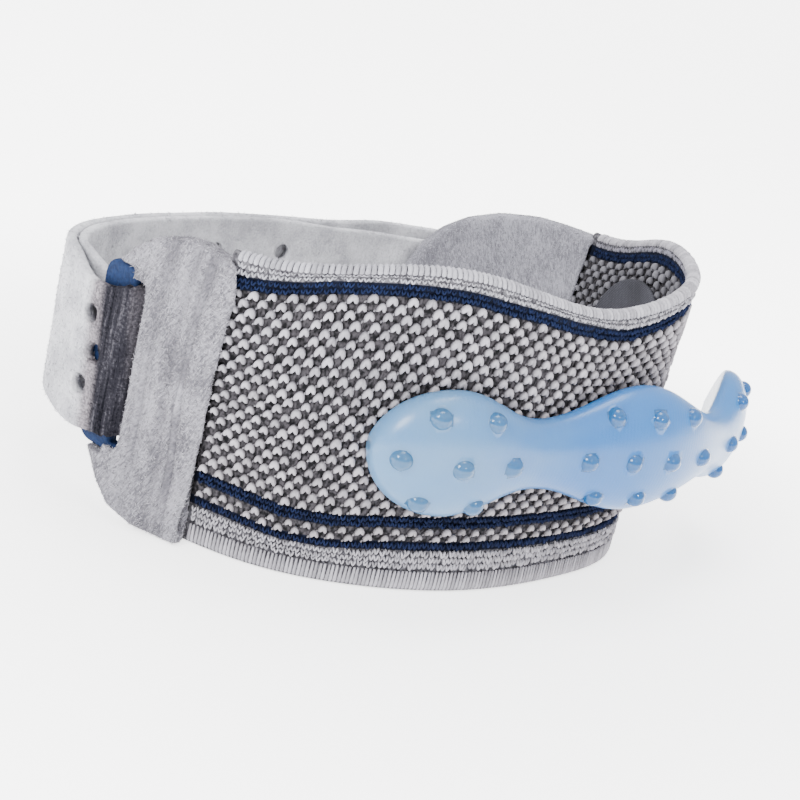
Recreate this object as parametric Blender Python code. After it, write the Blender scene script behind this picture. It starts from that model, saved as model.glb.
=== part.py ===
"""Patella strap: a knitted knee band closed by a fabric strap, with a studded gel pad.

Every piece is first laid out flat, as cloth lies on a table: x runs along the band,
-y points outward from the knee and z is the height. Then wrap() bends it round the
plan curve of the band. All lengths are in metres.
"""

import math

import bmesh
import bpy
import numpy as np

# Space between two pieces that touch
CLEARANCE = 0.0003
# Corners of one piece that are closer than this become one
WELD = 0.00001

# Plan of the band seen from above, anticlockwise from the seam of the near tab
LOOP_LENGTH = 0.1270
LOOP_WIDTH = 0.0897
LOOP_STATIONS = (
    # place, share of half the length, share of half the width
    ("near seam", -0.733, -0.553),
    ("front left", -0.444, -0.875),
    ("front", 0.017, -1.000),
    ("front right", 0.481, -0.910),
    ("right corner", 0.846, -0.662),
    ("right", 0.991, 0.007),
    ("right back", 0.934, 0.570),
    ("back right", 0.553, 0.930),
    ("back", -0.035, 0.986),
    ("back left", -0.603, 0.791),
    ("left back", -0.950, 0.417),
    ("left", -0.933, -0.075),
)
LOOP_SAMPLES = 1200

# Knitted band
KNIT_LENGTH = 0.1555
KNIT_HEIGHT = 0.0580
KNIT_CREST = 0.0058
FAR_RISE = 0.0022
FAR_RISE_AT = 0.84
FAR_RISE_SPREAD = 0.085
KNIT_WALL = 0.0018
KNIT_STEP = 0.0040
LEAN_AT_SEAMS = 0.0034
LEAN_AT_MIDDLE = -0.0010
LEAN_FADE = 0.0200
HEM_HEIGHT = 0.0040
HEM_SWELL = 0.0004
HEM_FOOT = 0.0005
TONGUE_LENGTH = 0.0060
TONGUE_INSET = 0.0030
KNIT_SECTION = (
    # height in the hem, share of its height; swell over the wall, share of HEM_SWELL
    (0.12, 0.40),
    (0.45, 1.00),
    (0.80, 0.60),
    (1.00, 0.00),
)

# Padded felt tabs at both ends of the band
TAB_THICKNESS = 0.0045
TAB_EDGE = 0.0014
TAB_STRAIGHT = 0.0040
TAB_SLICE = 0.0024
NEAR_TAB_REACH = 0.0292
NEAR_TAB_INSET = 0.0004
NEAR_TAB_ROUNDNESS = (2.0, 2.3)
FAR_TAB_REACH = 0.0470
FAR_TAB_INSET = 0.0010
FAR_TAB_ROUNDNESS = (2.6, 2.6)
TAB_OUTLINE_STEPS = 14

# Fabric strap, doubled back through the ring
STRAP_WIDTH = 0.0316
STRAP_THICKNESS = 0.0020
STRAP_MIDDLE = 0.0300
STRAP_SEWN = 0.0260
STRAP_PINCH = 0.0026
STRAP_LIFT = 0.0018
STRAP_LIFT_PAST_FOLD = 0.0060
STRAP_STEP = 0.0050
STRAP_CORNER = 0.0004
STRAP_DIP = 0.0022
STRAP_DIP_LENGTH = 0.0400
STRAP_EASE = 0.0120
STRAP_EASE_OFF_TAB = 0.0240
FREE_END_COVER = 0.0180
FOLD_STEPS = 8
HOLE_RADIUS = 0.0019
HOLE_SIDES = 12
HOLES_FROM_FOLD = 0.0066
HOLE_ROW_PITCH_BY_FOLD = 0.0070
HOLE_ROW_PITCH = 0.0082
HOLE_STAGGER = 0.0022
HOLE_COLUMNS_FROM_TAB = (0.0344, 0.0528)

# Hook patch under the free end of the strap
PATCH_LENGTH = 0.0220
PATCH_WIDTH = 0.0220
PATCH_THICKNESS = 0.0009

# Slotted ring at the edge of the near tab
RING_THICKNESS = 0.0026
RING_CORNER = 0.0032
RING_LOW_WALL = 0.0020
RING_HIGH_WALL = 0.0020
RING_TAB_BAR = 0.0025
RING_STRAP_BAR = 0.0086
RING_IN_TAB = 0.0029
RING_END_IN_TAB = 0.0060
RING_FROM_SEAM = 0.0133
RING_EDGE = 0.0007

# Gel pad with three lobes
PAD_FIRST_LOBE = 0.2880 * KNIT_LENGTH
PAD_PITCH = 0.2765 * KNIT_LENGTH
PAD_HEIGHT_AT = 0.0305
PAD_STANDS_OFF = 0.0125
PAD_LEAVES_OVER = 0.0700
PAD_HALF_HEIGHT = 0.0124
PAD_THICKNESS = 0.0095
PAD_EDGE = 0.0022
PAD_END = 0.345
PAD_TIP_THICKNESS = 0.25
PAD_TIP_TURNS = (22, 42, 58, 70, 79, 85)
PAD_LOBE_RISES = (0.0, 0.0012, -0.0018)
PAD_DOME_STEPS = 10
PAD_FLAT_BACK = 0.90
PAD_STEP = 0.0026
PAD_FORM = (
    # distance from the middle, share of the pitch; half height and thickness, shares
    (0.00, 1.06, 1.00),
    (0.58, 0.56, 0.58),
    (1.00, 1.00, 0.94),
)
STUD_RADIUS = 0.0020
STUD_SIDES = 10
STUD_RINGS = 6
STUD_SUNK = 0.0006
STUD_PITCH = 0.0102
STUD_ROW_PITCH = 0.0082
STUD_ROWS = (
    # row, studs on an end lobe, studs on the middle lobe
    (-1, 2, 3),
    (0, 3, 4),
    (1, 2, 3),
)

# Smooth pocket panel inside the band
POCKET_THICKNESS = 0.0010
POCKET_MARGIN = 0.0114
POCKET_CORNER = 0.0004

COLOURS = (
    # node, colour, roughness
    ("knit_band", (0.36, 0.34, 0.37), 0.95),
    ("near_tab", (0.56, 0.54, 0.60), 0.98),
    ("far_tab", (0.50, 0.50, 0.56), 0.98),
    ("slot_ring", (0.03, 0.08, 0.28), 0.60),
    ("closure_strap", (0.72, 0.72, 0.76), 0.96),
    ("hook_patch", (0.30, 0.30, 0.34), 0.90),
    ("gel_pad", (0.36, 0.58, 0.80), 0.25),
    ("pad_pocket", (0.16, 0.16, 0.19), 0.90),
)


def clear_scene():
    """Remove every object of the open scene."""
    for thing in list(bpy.data.objects):
        bpy.data.objects.remove(thing, do_unlink=True)


def closed_spline(points):
    """Second derivatives of a smooth closed curve through the points."""
    count = len(points)
    rows = np.zeros((count, count))
    bends = np.zeros((count, 2))
    for i in range(count):
        before, after = (i - 1) % count, (i + 1) % count
        rows[i, before] = rows[i, after] = 1.0
        rows[i, i] = 4.0
        bends[i] = 6.0 * (points[before] - 2.0 * points[i] + points[after])
    return np.linalg.solve(rows, bends)


def loop_table():
    """Distance along the plan curve, its points and its outward normals."""
    half = np.array([LOOP_LENGTH / 2, LOOP_WIDTH / 2])
    points = np.array([(x, y) for _, x, y in LOOP_STATIONS]) * half
    second = closed_spline(points)
    count = len(points)
    where = np.linspace(0.0, count, LOOP_SAMPLES + 1)
    i = np.minimum(where.astype(int), count - 1)
    j = (i + 1) % count
    b = (where - i)[:, None]
    a = 1.0 - b
    curve = (a * points[i] + b * points[j]
             + ((a ** 3 - a) * second[i] + (b ** 3 - b) * second[j]) / 6.0)
    slope = (points[j] - points[i]
             + (-(3 * a ** 2 - 1) * second[i] + (3 * b ** 2 - 1) * second[j]) / 6.0)
    slope /= np.linalg.norm(slope, axis=1)[:, None]
    steps = np.linalg.norm(np.diff(curve, axis=0), axis=1)
    along = np.concatenate([[0.0], np.cumsum(steps)])
    outward = np.stack([slope[:, 1], -slope[:, 0]], axis=1)
    return along, curve, outward


ALONG, CURVE, OUTWARD = loop_table()
LOOP_GIRTH = ALONG[-1]


def lean(s):
    """How far the lower edge leans in toward the knee at distance s."""
    if s > LOOP_GIRTH / 2 + KNIT_LENGTH / 2:
        s -= LOOP_GIRTH
    beyond = max(-s, s - KNIT_LENGTH, 0.0)
    if beyond > 0.0:
        fade = min(beyond / LEAN_FADE, 1.0)
        return LEAN_AT_SEAMS * (0.5 + 0.5 * math.cos(math.pi * fade))
    middle = math.sin(math.pi * s / KNIT_LENGTH) ** 2
    return LEAN_AT_SEAMS + (LEAN_AT_MIDDLE - LEAN_AT_SEAMS) * middle


def place(s, out, z):
    """World place of a point at distance s, out from the loop, at height z."""
    round_s = s % LOOP_GIRTH
    x = np.interp(round_s, ALONG, CURVE[:, 0])
    y = np.interp(round_s, ALONG, CURVE[:, 1])
    nx = np.interp(round_s, ALONG, OUTWARD[:, 0])
    ny = np.interp(round_s, ALONG, OUTWARD[:, 1])
    out -= lean(round_s) * (1.0 - z / KNIT_HEIGHT)
    return x + nx * out, y + ny * out, z


def pad_gap(s):
    """How far the back of the pad stands off the band: none by the first lobe."""
    return PAD_STANDS_OFF * (max(s - PAD_FIRST_LOBE, 0.0) / PAD_LEAVES_OVER) ** 3


def pad_table():
    """Distance along the pad's own curve for each distance along the band."""
    s = np.linspace(PAD_FIRST_LOBE - PAD_PITCH, PAD_FIRST_LOBE + 3 * PAD_PITCH, LOOP_SAMPLES)
    points = np.array([place(d, pad_gap(d), KNIT_HEIGHT)[:2] for d in s])
    steps = np.linalg.norm(np.diff(points, axis=0), axis=1)
    along = np.concatenate([[0.0], np.cumsum(steps)])
    slope = np.gradient(points, axis=0)
    slope /= np.linalg.norm(slope, axis=1)[:, None]
    along -= np.interp(PAD_FIRST_LOBE, s, along)
    return along, points, np.stack([slope[:, 1], -slope[:, 0]], axis=1), s


PAD_ALONG, PAD_CURVE, PAD_OUTWARD, PAD_BESIDE = pad_table()


def place_on_pad(along, out, z):
    """World place of a point of the pad, whose curve is straighter than the band's."""
    x = np.interp(along, PAD_ALONG, PAD_CURVE[:, 0])
    y = np.interp(along, PAD_ALONG, PAD_CURVE[:, 1])
    nx = np.interp(along, PAD_ALONG, PAD_OUTWARD[:, 0])
    ny = np.interp(along, PAD_ALONG, PAD_OUTWARD[:, 1])
    out -= lean(np.interp(along, PAD_ALONG, PAD_BESIDE)) * (1.0 - z / KNIT_HEIGHT)
    return x + nx * out, y + ny * out, z


def wrap(thing, route=place):
    """Bend a flat piece round the plan curve, or along the pad's own curve."""
    shape = bmesh.new()
    shape.from_mesh(thing.data)
    bmesh.ops.triangulate(shape, faces=shape.faces)
    for corner in shape.verts:
        corner.co = route(corner.co.x, -corner.co.y, corner.co.z)
    shape.to_mesh(thing.data)
    shape.free()
    return thing


def new_object(name, mesh):
    """Link a mesh as an object of the strap's collection."""
    thing = bpy.data.objects.new(name, mesh)
    bpy.data.collections["patella_strap"].objects.link(thing)
    return thing


def loft(name, sections):
    """Closed flat solid through equal sections of (s, out, z) points."""
    shape = bmesh.new()
    rings = [[shape.verts.new((s, -out, z)) for s, out, z in ring] for ring in sections]
    for one, two in zip(rings, rings[1:]):
        for i in range(len(one)):
            j = (i + 1) % len(one)
            shape.faces.new((one[i], one[j], two[j], two[i]))
    shape.faces.new(rings[0])
    shape.faces.new(rings[-1])
    bmesh.ops.recalc_face_normals(shape, faces=shape.faces)
    if shape.calc_volume(signed=True) < 0.0:
        bmesh.ops.reverse_faces(shape, faces=shape.faces)
    mesh = bpy.data.meshes.new(name)
    shape.to_mesh(mesh)
    shape.free()
    return new_object(name, mesh)


def evaluated(thing):
    """Replace a curve or a piece with modifiers by its plain mesh."""
    bpy.context.view_layer.update()
    graph = bpy.context.evaluated_depsgraph_get()
    mesh = bpy.data.meshes.new_from_object(thing.evaluated_get(graph))
    name = thing.name
    mesh.transform(thing.matrix_world)
    bpy.data.objects.remove(thing, do_unlink=True)
    shape = bmesh.new()
    shape.from_mesh(mesh)
    bmesh.ops.remove_doubles(shape, verts=shape.verts, dist=WELD)
    shape.to_mesh(mesh)
    shape.free()
    return new_object(name, mesh)


def plate(name, outlines, out_low, out_high, edge):
    """Flat plate with rounded edges from closed (s, z) outlines."""
    curve = bpy.data.curves.new(name, "CURVE")
    curve.dimensions = "2D"
    curve.fill_mode = "BOTH"
    curve.extrude = (out_high - out_low) / 2 - edge
    curve.bevel_depth = edge
    curve.bevel_resolution = 2
    curve.offset = -edge
    for outline in outlines:
        spline = curve.splines.new("POLY")
        spline.points.add(len(outline) - 1)
        for point, (s, z) in zip(spline.points, outline):
            point.co = (s, z, 0.0, 1.0)
        spline.use_cyclic_u = True
    thing = new_object(name, curve)
    thing.rotation_euler = (math.radians(90), 0.0, 0.0)
    thing.location = (0.0, -(out_low + out_high) / 2, 0.0)
    return evaluated(thing)


def slice_along(thing, step):
    """Cut a flat piece into short lengths, so that it can bend."""
    shape = bmesh.new()
    shape.from_mesh(thing.data)
    low = min(corner.co.x for corner in shape.verts)
    high = max(corner.co.x for corner in shape.verts)
    count = max(int((high - low) / step), 1)
    for i in range(1, count):
        bmesh.ops.bisect_plane(
            shape,
            geom=shape.verts[:] + shape.edges[:] + shape.faces[:],
            plane_co=(low + (high - low) * i / count, 0.0, 0.0),
            plane_no=(1.0, 0.0, 0.0),
        )
    shape.to_mesh(thing.data)
    shape.free()
    return thing


def block(name, s_low, s_high, out_low, out_high, z_low, z_high):
    """Flat box, made from the cube primitive."""
    bpy.ops.mesh.primitive_cube_add(size=1.0)
    thing = bpy.context.active_object
    thing.name = name
    thing.scale = (s_high - s_low, out_high - out_low, z_high - z_low)
    thing.location = ((s_low + s_high) / 2, -(out_low + out_high) / 2, (z_low + z_high) / 2)
    return thing


def combine(thing, tools, operation):
    """Cut the tools from a piece, or join them to it, and remove them."""
    for tool in tools:
        change = thing.modifiers.new(operation.lower(), "BOOLEAN")
        change.operation = operation
        change.solver = "EXACT"
        change.object = tool
    result = evaluated(thing)
    for tool in tools:
        bpy.data.objects.remove(tool, do_unlink=True)
    return result


def rounded_outline(s_low, s_high, z_low, z_high, radius, steps=5):
    """Closed (s, z) outline of a box with round corners."""
    corners = (
        (s_high - radius, z_high - radius, 0),
        (s_low + radius, z_high - radius, 90),
        (s_low + radius, z_low + radius, 180),
        (s_high - radius, z_low + radius, 270),
    )
    outline = []
    for s, z, start in corners:
        for i in range(steps + 1):
            turn = math.radians(start + 90 * i / steps)
            outline.append((s + radius * math.cos(turn), z + radius * math.sin(turn)))
    return outline


def spread(low, high, step):
    """Even places from low to high, about a step apart."""
    count = max(int(round((high - low) / step)), 1)
    return [low + (high - low) * i / count for i in range(count + 1)]


def ease(low, high, place_now):
    """Smooth share from 0 at low to 1 at high."""
    share = min(max((place_now - low) / (high - low), 0.0), 1.0)
    return share * share * (3.0 - 2.0 * share)


def top_edge(s):
    """Height of the knitted band at distance s: a crest over each quarter."""
    share = min(max(s / KNIT_LENGTH, 0.0), 1.0)
    crest = KNIT_CREST * math.sin(2 * math.pi * share) ** 2
    rise = FAR_RISE * math.exp(-((share - FAR_RISE_AT) / FAR_RISE_SPREAD) ** 2)
    return KNIT_HEIGHT + crest + rise


def knit_section(s, low, high, swell):
    """One section of the band, up its outer face and down its inner face."""
    rise = [(low + HEM_HEIGHT * share, swell * size) for share, size in KNIT_SECTION]
    fall = [(high - HEM_HEIGHT * share, swell * size) for share, size in reversed(KNIT_SECTION)]
    outer = [(low, -HEM_FOOT)] + rise + fall + [(high, -HEM_FOOT)]
    inner = [(z, -KNIT_WALL - out) for z, out in reversed(outer)]
    return [(s, out, z) for z, out in outer + inner]


def make_knit_band():
    """Elastic knitted band with a swollen hem along both edges."""
    step_in = TONGUE_INSET
    tongue_high = KNIT_HEIGHT - TONGUE_INSET
    sections = []
    for s in spread(-TONGUE_LENGTH, 0.0, TAB_SLICE):
        sections.append(knit_section(s, step_in, tongue_high, 0.0))
    for s in spread(CLEARANCE, KNIT_LENGTH - CLEARANCE, KNIT_STEP):
        sections.append(knit_section(s, 0.0, top_edge(s), HEM_SWELL))
    for s in spread(KNIT_LENGTH, KNIT_LENGTH + TONGUE_LENGTH, TAB_SLICE):
        sections.append(knit_section(s, step_in, tongue_high, 0.0))
    return wrap(loft("knit_band", sections))


def tab_outline(reach, inset, roundness):
    """Outline of a tab as (distance from the seam, height), a D with its back at the seam."""
    half = KNIT_HEIGHT / 2 - inset
    middle = KNIT_HEIGHT / 2
    length = reach - TAB_STRAIGHT
    outline = [(0.0, middle - half)]
    for i in range(TAB_OUTLINE_STEPS + 1):
        turn = math.radians(-90 + 180 * i / TAB_OUTLINE_STEPS)
        power = 2 / roundness[0 if turn < 0 else 1]
        far = length * math.cos(turn) ** power
        high = math.copysign(abs(math.sin(turn)) ** power, turn)
        outline.append((TAB_STRAIGHT + far, middle + half * high))
    outline.append((0.0, middle + half))
    return outline


def wall_middle():
    """Offset of the middle plane of the knitted wall, the tabs and the ring."""
    return -KNIT_WALL / 2


def tab_faces():
    """Offsets of the inner and outer face of a tab, centred on the knitted wall."""
    middle = wall_middle()
    return middle - TAB_THICKNESS / 2, middle + TAB_THICKNESS / 2


def mouth(name, s_low, s_high):
    """Cutter for the slit that takes the end of the knitted band."""
    return block(name, s_low, s_high, -KNIT_WALL - CLEARANCE, CLEARANCE,
                 TONGUE_INSET - CLEARANCE, KNIT_HEIGHT - TONGUE_INSET + CLEARANCE)


def ring_box():
    """Outer edges of the slotted ring: s low, s high, z low, z high."""
    s_high = -RING_FROM_SEAM
    s_low = s_high - RING_TAB_BAR - ring_slit() - RING_STRAP_BAR
    z_low = STRAP_MIDDLE - STRAP_WIDTH / 2 - CLEARANCE - RING_LOW_WALL
    z_high = STRAP_MIDDLE + STRAP_WIDTH / 2 + CLEARANCE + RING_HIGH_WALL
    return s_low, s_high, z_low, z_high


def ring_slit():
    """Width of the slit: the strap lies in it beside the lip of the tab."""
    return STRAP_THICKNESS + 2 * CLEARANCE + max(RING_IN_TAB - RING_TAB_BAR, 0.0)


def make_near_tab():
    """Felt tab on the near side, with a notch and a groove for the ring."""
    low, high = tab_faces()
    outline = [(-far, z) for far, z in
               tab_outline(NEAR_TAB_REACH, NEAR_TAB_INSET, NEAR_TAB_ROUNDNESS)]
    tab = plate("near_tab", [outline], low, high, TAB_EDGE)
    s_low, s_high, z_low, z_high = ring_box()
    thick = RING_THICKNESS / 2 + CLEARANCE
    middle = wall_middle()
    notch = block("notch", -2 * NEAR_TAB_REACH, s_high - RING_END_IN_TAB,
                  2 * low, 2 * TAB_THICKNESS, z_low - CLEARANCE, z_high + CLEARANCE)
    throat = block("throat", s_low, s_high - RING_IN_TAB, 2 * low, 2 * TAB_THICKNESS,
                   z_low + RING_LOW_WALL, z_high - RING_HIGH_WALL)
    groove = block("groove", s_low, s_high + CLEARANCE, middle - thick, middle + thick,
                   z_low - CLEARANCE, z_high + CLEARANCE)
    slit = mouth("near_mouth", -TONGUE_LENGTH - CLEARANCE, TAB_THICKNESS)
    tab = combine(tab, [notch, throat, groove, slit], "DIFFERENCE")
    return wrap(slice_along(tab, TAB_SLICE))


def make_far_tab():
    """Felt tab on the far side, which the strap is sewn on."""
    low, high = tab_faces()
    outline = [(KNIT_LENGTH + far, z) for far, z in
               tab_outline(FAR_TAB_REACH, FAR_TAB_INSET, FAR_TAB_ROUNDNESS)]
    tab = plate("far_tab", [outline], low, high, TAB_EDGE)
    slit = mouth("far_mouth", KNIT_LENGTH - TAB_THICKNESS,
                 KNIT_LENGTH + TONGUE_LENGTH + CLEARANCE)
    return wrap(slice_along(combine(tab, [slit], "DIFFERENCE"), TAB_SLICE))


def make_slot_ring():
    """Moulded ring: one slit, a wide bar for the strap and a thin bar in the tab."""
    s_low, s_high, z_low, z_high = ring_box()
    frame = rounded_outline(s_low, s_high, z_low, z_high, RING_CORNER)
    slit_high = s_high - RING_TAB_BAR
    slit_low = slit_high - ring_slit()
    slit = rounded_outline(slit_low, slit_high, z_low + RING_LOW_WALL,
                           z_high - RING_HIGH_WALL, RING_EDGE / 2)
    middle = wall_middle()
    half = RING_THICKNESS / 2
    ring = plate("slot_ring", [frame, slit], middle - half, middle + half, RING_EDGE)
    return wrap(slice_along(ring, TAB_SLICE))


def inner_path(s):
    """Offset of the strap's inner layer: over the far tab, round the back, to the ring."""
    half = STRAP_THICKNESS / 2
    tab_seat = tab_faces()[1] + CLEARANCE + half
    back_seat = wall_middle() - CLEARANCE / 2 - half
    ring_seat = wall_middle() - RING_THICKNESS / 2 - CLEARANCE - half
    tab_end = KNIT_LENGTH + FAR_TAB_REACH
    ring_start = LOOP_GIRTH + ring_box()[0]
    off_tab = ease(tab_end, tab_end + STRAP_EASE_OFF_TAB, s)
    to_ring = ease(ring_start - STRAP_EASE, ring_start, s)
    return tab_seat + (back_seat - tab_seat) * off_tab + (ring_seat - back_seat) * to_ring


def outer_path(s):
    """Offset of the outer layer, on the inner one, on the patch or round the ring."""
    thick = STRAP_THICKNESS + CLEARANCE
    patch = PATCH_THICKNESS + CLEARANCE
    ring_lift = RING_THICKNESS + CLEARANCE
    patch_end = free_end() + PATCH_LENGTH
    ring_start = LOOP_GIRTH + ring_box()[0]
    off_patch = ease(patch_end, patch_end + STRAP_EASE, s)
    to_ring = ease(ring_start - STRAP_EASE, ring_start, s)
    return inner_path(s) + thick + patch * (1 - off_patch) + ring_lift * to_ring


def free_end():
    """Distance at which the outer layer ends, over the far tab."""
    return KNIT_LENGTH + FAR_TAB_REACH - FREE_END_COVER


def strap_section(s, out, turn, shift):
    """Section of the strap across its path; turn is the path's angle in the flat plan."""
    half = STRAP_THICKNESS / 2
    low = STRAP_MIDDLE - STRAP_WIDTH / 2 + shift + strap_lift(s)
    high = STRAP_MIDDLE + STRAP_WIDTH / 2 + shift - strap_pinch(s)
    cut = STRAP_CORNER
    outline = (
        (-half, high - cut), (cut - half, high), (half - cut, high), (half, high - cut),
        (half, low + cut), (half - cut, low), (cut - half, low), (-half, low + cut),
    )
    across_s, across_out = math.sin(turn), math.cos(turn)
    return [(s + d * across_s, out + d * across_out, z) for d, z in outline]


def into_ring(s):
    """Smooth share from 0 at the start of the ring to 1 a little past the fold."""
    ring_start = LOOP_GIRTH + ring_box()[0]
    return ease(ring_start, fold_middle() + STRAP_LIFT_PAST_FOLD, s)


def strap_pinch(s):
    """How much lower the upper edge of the strap is where the ring gathers it."""
    ring_start = LOOP_GIRTH + ring_box()[0]
    return STRAP_PINCH * ease(ring_start - STRAP_EASE, ring_start, s) * (1 - into_ring(s))


def strap_lift(s):
    """How much higher the lower edge of the strap is where it goes into the ring."""
    return STRAP_LIFT * into_ring(s)


def fold_middle():
    """Distance of the axis that the strap turns round, at the rim of the wide bar."""
    s_low, s_high, _, _ = ring_box()
    return LOOP_GIRTH + s_low + RING_STRAP_BAR - RING_THICKNESS / 2


def hole(name, s, out, z):
    """Cutter for one round hole through one layer of the strap."""
    bpy.ops.mesh.primitive_cylinder_add(
        vertices=HOLE_SIDES, radius=HOLE_RADIUS, depth=STRAP_THICKNESS + CLEARANCE)
    thing = bpy.context.active_object
    thing.name = name
    thing.rotation_euler = (math.radians(90), 0.0, 0.0)
    thing.location = (s, -out, z)
    return thing


def strap_holes():
    """Three holes by the fold, and staggered columns of them at the back."""
    holes = []
    for row in (-1, 0, 1):
        stagger = HOLE_STAGGER * (1 - abs(row))
        s = fold_middle() - HOLES_FROM_FOLD + stagger
        holes.append(hole("hole", s, outer_path(s), STRAP_MIDDLE + row * HOLE_ROW_PITCH_BY_FOLD))
        for from_tab in HOLE_COLUMNS_FROM_TAB:
            s = KNIT_LENGTH + FAR_TAB_REACH + from_tab + stagger
            holes.append(hole("hole", s, inner_path(s), STRAP_MIDDLE + row * HOLE_ROW_PITCH))
    return holes


def make_closure_strap():
    """One strap: sewn on the far tab, round the back, through the ring and doubled back."""
    sewn = KNIT_LENGTH + FAR_TAB_REACH - STRAP_SEWN
    fold = fold_middle()
    sections = []
    for s in spread(sewn, fold, STRAP_STEP):
        dip = STRAP_DIP * (1 - ease(KNIT_LENGTH + FAR_TAB_REACH,
                                    KNIT_LENGTH + FAR_TAB_REACH + STRAP_DIP_LENGTH, s))
        sections.append(strap_section(s, inner_path(s), 0.0, -dip))
    radius = (outer_path(fold) - inner_path(fold)) / 2
    for i in range(1, FOLD_STEPS):
        turn = math.pi * i / FOLD_STEPS
        sections.append(strap_section(fold + radius * math.sin(turn),
                                      wall_middle() - radius * math.cos(turn), -turn, 0.0))
    for s in reversed(spread(free_end(), fold, STRAP_STEP)):
        sections.append(strap_section(s, outer_path(s), -math.pi, 0.0))
    flat = loft("closure_strap", sections)
    return wrap(combine(flat, strap_holes(), "DIFFERENCE"))


def make_hook_patch():
    """Plain patch that holds the free end to the layer below it."""
    sections = []
    lift = STRAP_THICKNESS / 2 + CLEARANCE
    for s in spread(free_end() + CLEARANCE, free_end() + PATCH_LENGTH, STRAP_STEP):
        low = inner_path(s) + lift
        high = low + PATCH_THICKNESS
        z_low = STRAP_MIDDLE - PATCH_WIDTH / 2
        z_high = STRAP_MIDDLE + PATCH_WIDTH / 2
        sections.append([(s, low, z_low), (s, high, z_low), (s, high, z_high), (s, low, z_high)])
    return wrap(loft("hook_patch", sections))


def pad_form(s):
    """Half height and thickness of the gel pad at a distance from its first lobe."""
    far = abs(s - PAD_PITCH) / PAD_PITCH
    last = PAD_FORM[-1]
    if far >= last[0]:
        share = max(1.0 - ((far - last[0]) / PAD_END) ** 2, 0.0) ** 0.5
        height = last[1] * share
        thick = last[2] * (PAD_TIP_THICKNESS + (1 - PAD_TIP_THICKNESS) * share)
    else:
        for one, two in zip(PAD_FORM, PAD_FORM[1:]):
            if one[0] <= far <= two[0]:
                mix = 0.5 - 0.5 * math.cos(math.pi * (far - one[0]) / (two[0] - one[0]))
                height = one[1] + (two[1] - one[1]) * mix
                thick = one[2] + (two[2] - one[2]) * mix
    return PAD_HALF_HEIGHT * height, PAD_EDGE + (PAD_THICKNESS - PAD_EDGE) * thick


def pad_rise(s):
    """How much higher the middle of the pad is at a distance from its first lobe."""
    place_now = min(max(s / PAD_PITCH, 0.0), 2.0)
    lobe = min(int(place_now), 1)
    low, high = PAD_LOBE_RISES[lobe], PAD_LOBE_RISES[lobe + 1]
    return low + (high - low) * ease(0.0, 1.0, place_now - lobe)


def pad_front(s, rise):
    """Offset of the domed face of the pad, at a height above its middle."""
    half, thick = pad_form(s)
    share = min(abs(rise) / half, 1.0)
    return CLEARANCE + PAD_EDGE + (thick - PAD_EDGE) * math.sqrt(1.0 - share ** 2)


def pad_section(s):
    """Section of the pad: a dome in front, nearly flat toward the band."""
    half, thick = pad_form(s)
    middle = PAD_HEIGHT_AT + pad_rise(s)
    section = []
    for i in range(PAD_DOME_STEPS + 1):
        turn = math.pi * i / PAD_DOME_STEPS
        out = CLEARANCE + PAD_EDGE + (thick - PAD_EDGE) * math.sin(turn)
        section.append((s, out, middle + half * math.cos(turn)))
    for share in (-PAD_FLAT_BACK, 0.0, PAD_FLAT_BACK):
        section.append((s, CLEARANCE, middle + half * share))
    return section


def pad_stations():
    """Distances of the pad's sections, closer together at its round ends."""
    reach = PAD_PITCH * PAD_FORM[-1][0]
    round_end = PAD_PITCH * PAD_END
    tips = [reach + round_end * math.sin(math.radians(turn)) for turn in PAD_TIP_TURNS]
    middle = spread(PAD_PITCH - reach, PAD_PITCH + reach, PAD_STEP)
    before = [PAD_PITCH - tip for tip in reversed(tips)]
    after = [PAD_PITCH + tip for tip in tips]
    return before + middle + after


def stud_places():
    """Distance and rise of each stud, in staggered rows on the three lobes."""
    places = []
    for lobe in (0, 1, 2):
        for row, at_end, at_middle in STUD_ROWS:
            count = at_middle if lobe == 1 else at_end
            for i in range(count):
                s = lobe * PAD_PITCH + (i - (count - 1) / 2) * STUD_PITCH
                places.append((s, row * STUD_ROW_PITCH))
    return places


def make_gel_pad():
    """Moulded pad of three lobes with round studs on its domed face."""
    pad = loft("gel_pad", [pad_section(s) for s in pad_stations()])
    studs = []
    for s, rise in stud_places():
        bpy.ops.mesh.primitive_uv_sphere_add(
            segments=STUD_SIDES, ring_count=STUD_RINGS, radius=STUD_RADIUS)
        stud = bpy.context.active_object
        stud.name = "stud"
        stud.location = (s, STUD_SUNK - pad_front(s, rise), PAD_HEIGHT_AT + pad_rise(s) + rise)
        studs.append(stud)
    return wrap(combine(pad, studs, "UNION"), place_on_pad)


def pocket_section(s):
    """Section of the pocket panel, a thin strip with cut corners."""
    half = pad_form(s)[0] + POCKET_MARGIN
    high = -KNIT_WALL - CLEARANCE
    low = high - POCKET_THICKNESS
    cut = POCKET_CORNER
    outline = (
        (low, cut - half), (low, half - cut), (low + cut, half), (high, half),
        (high, -half), (low + cut, -half),
    )
    return [(PAD_FIRST_LOBE + s, out, PAD_HEIGHT_AT + z) for out, z in outline]


def make_pad_pocket():
    """Smooth panel on the inner face of the band, with the same three lobes."""
    return wrap(loft("pad_pocket", [pocket_section(s) for s in pad_stations()]))


def paint(thing):
    """Give a piece its own plain material."""
    for name, colour, roughness in COLOURS:
        if name == thing.name:
            material = bpy.data.materials.new(name)
            material.use_nodes = True
            shader = material.node_tree.nodes["Principled BSDF"]
            shader.inputs["Base Color"].default_value = (*colour, 1.0)
            shader.inputs["Roughness"].default_value = roughness
            thing.data.materials.clear()
            thing.data.materials.append(material)


def centre_on_floor(pieces):
    """Move the whole strap so that the origin is under its middle, on the floor."""
    corners = np.array([corner.co for piece in pieces for corner in piece.data.vertices])
    low, high = corners.min(axis=0), corners.max(axis=0)
    for piece in pieces:
        for corner in piece.data.vertices:
            corner.co.x -= (low[0] + high[0]) / 2
            corner.co.y -= (low[1] + high[1]) / 2
            corner.co.z -= low[2]


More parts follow.
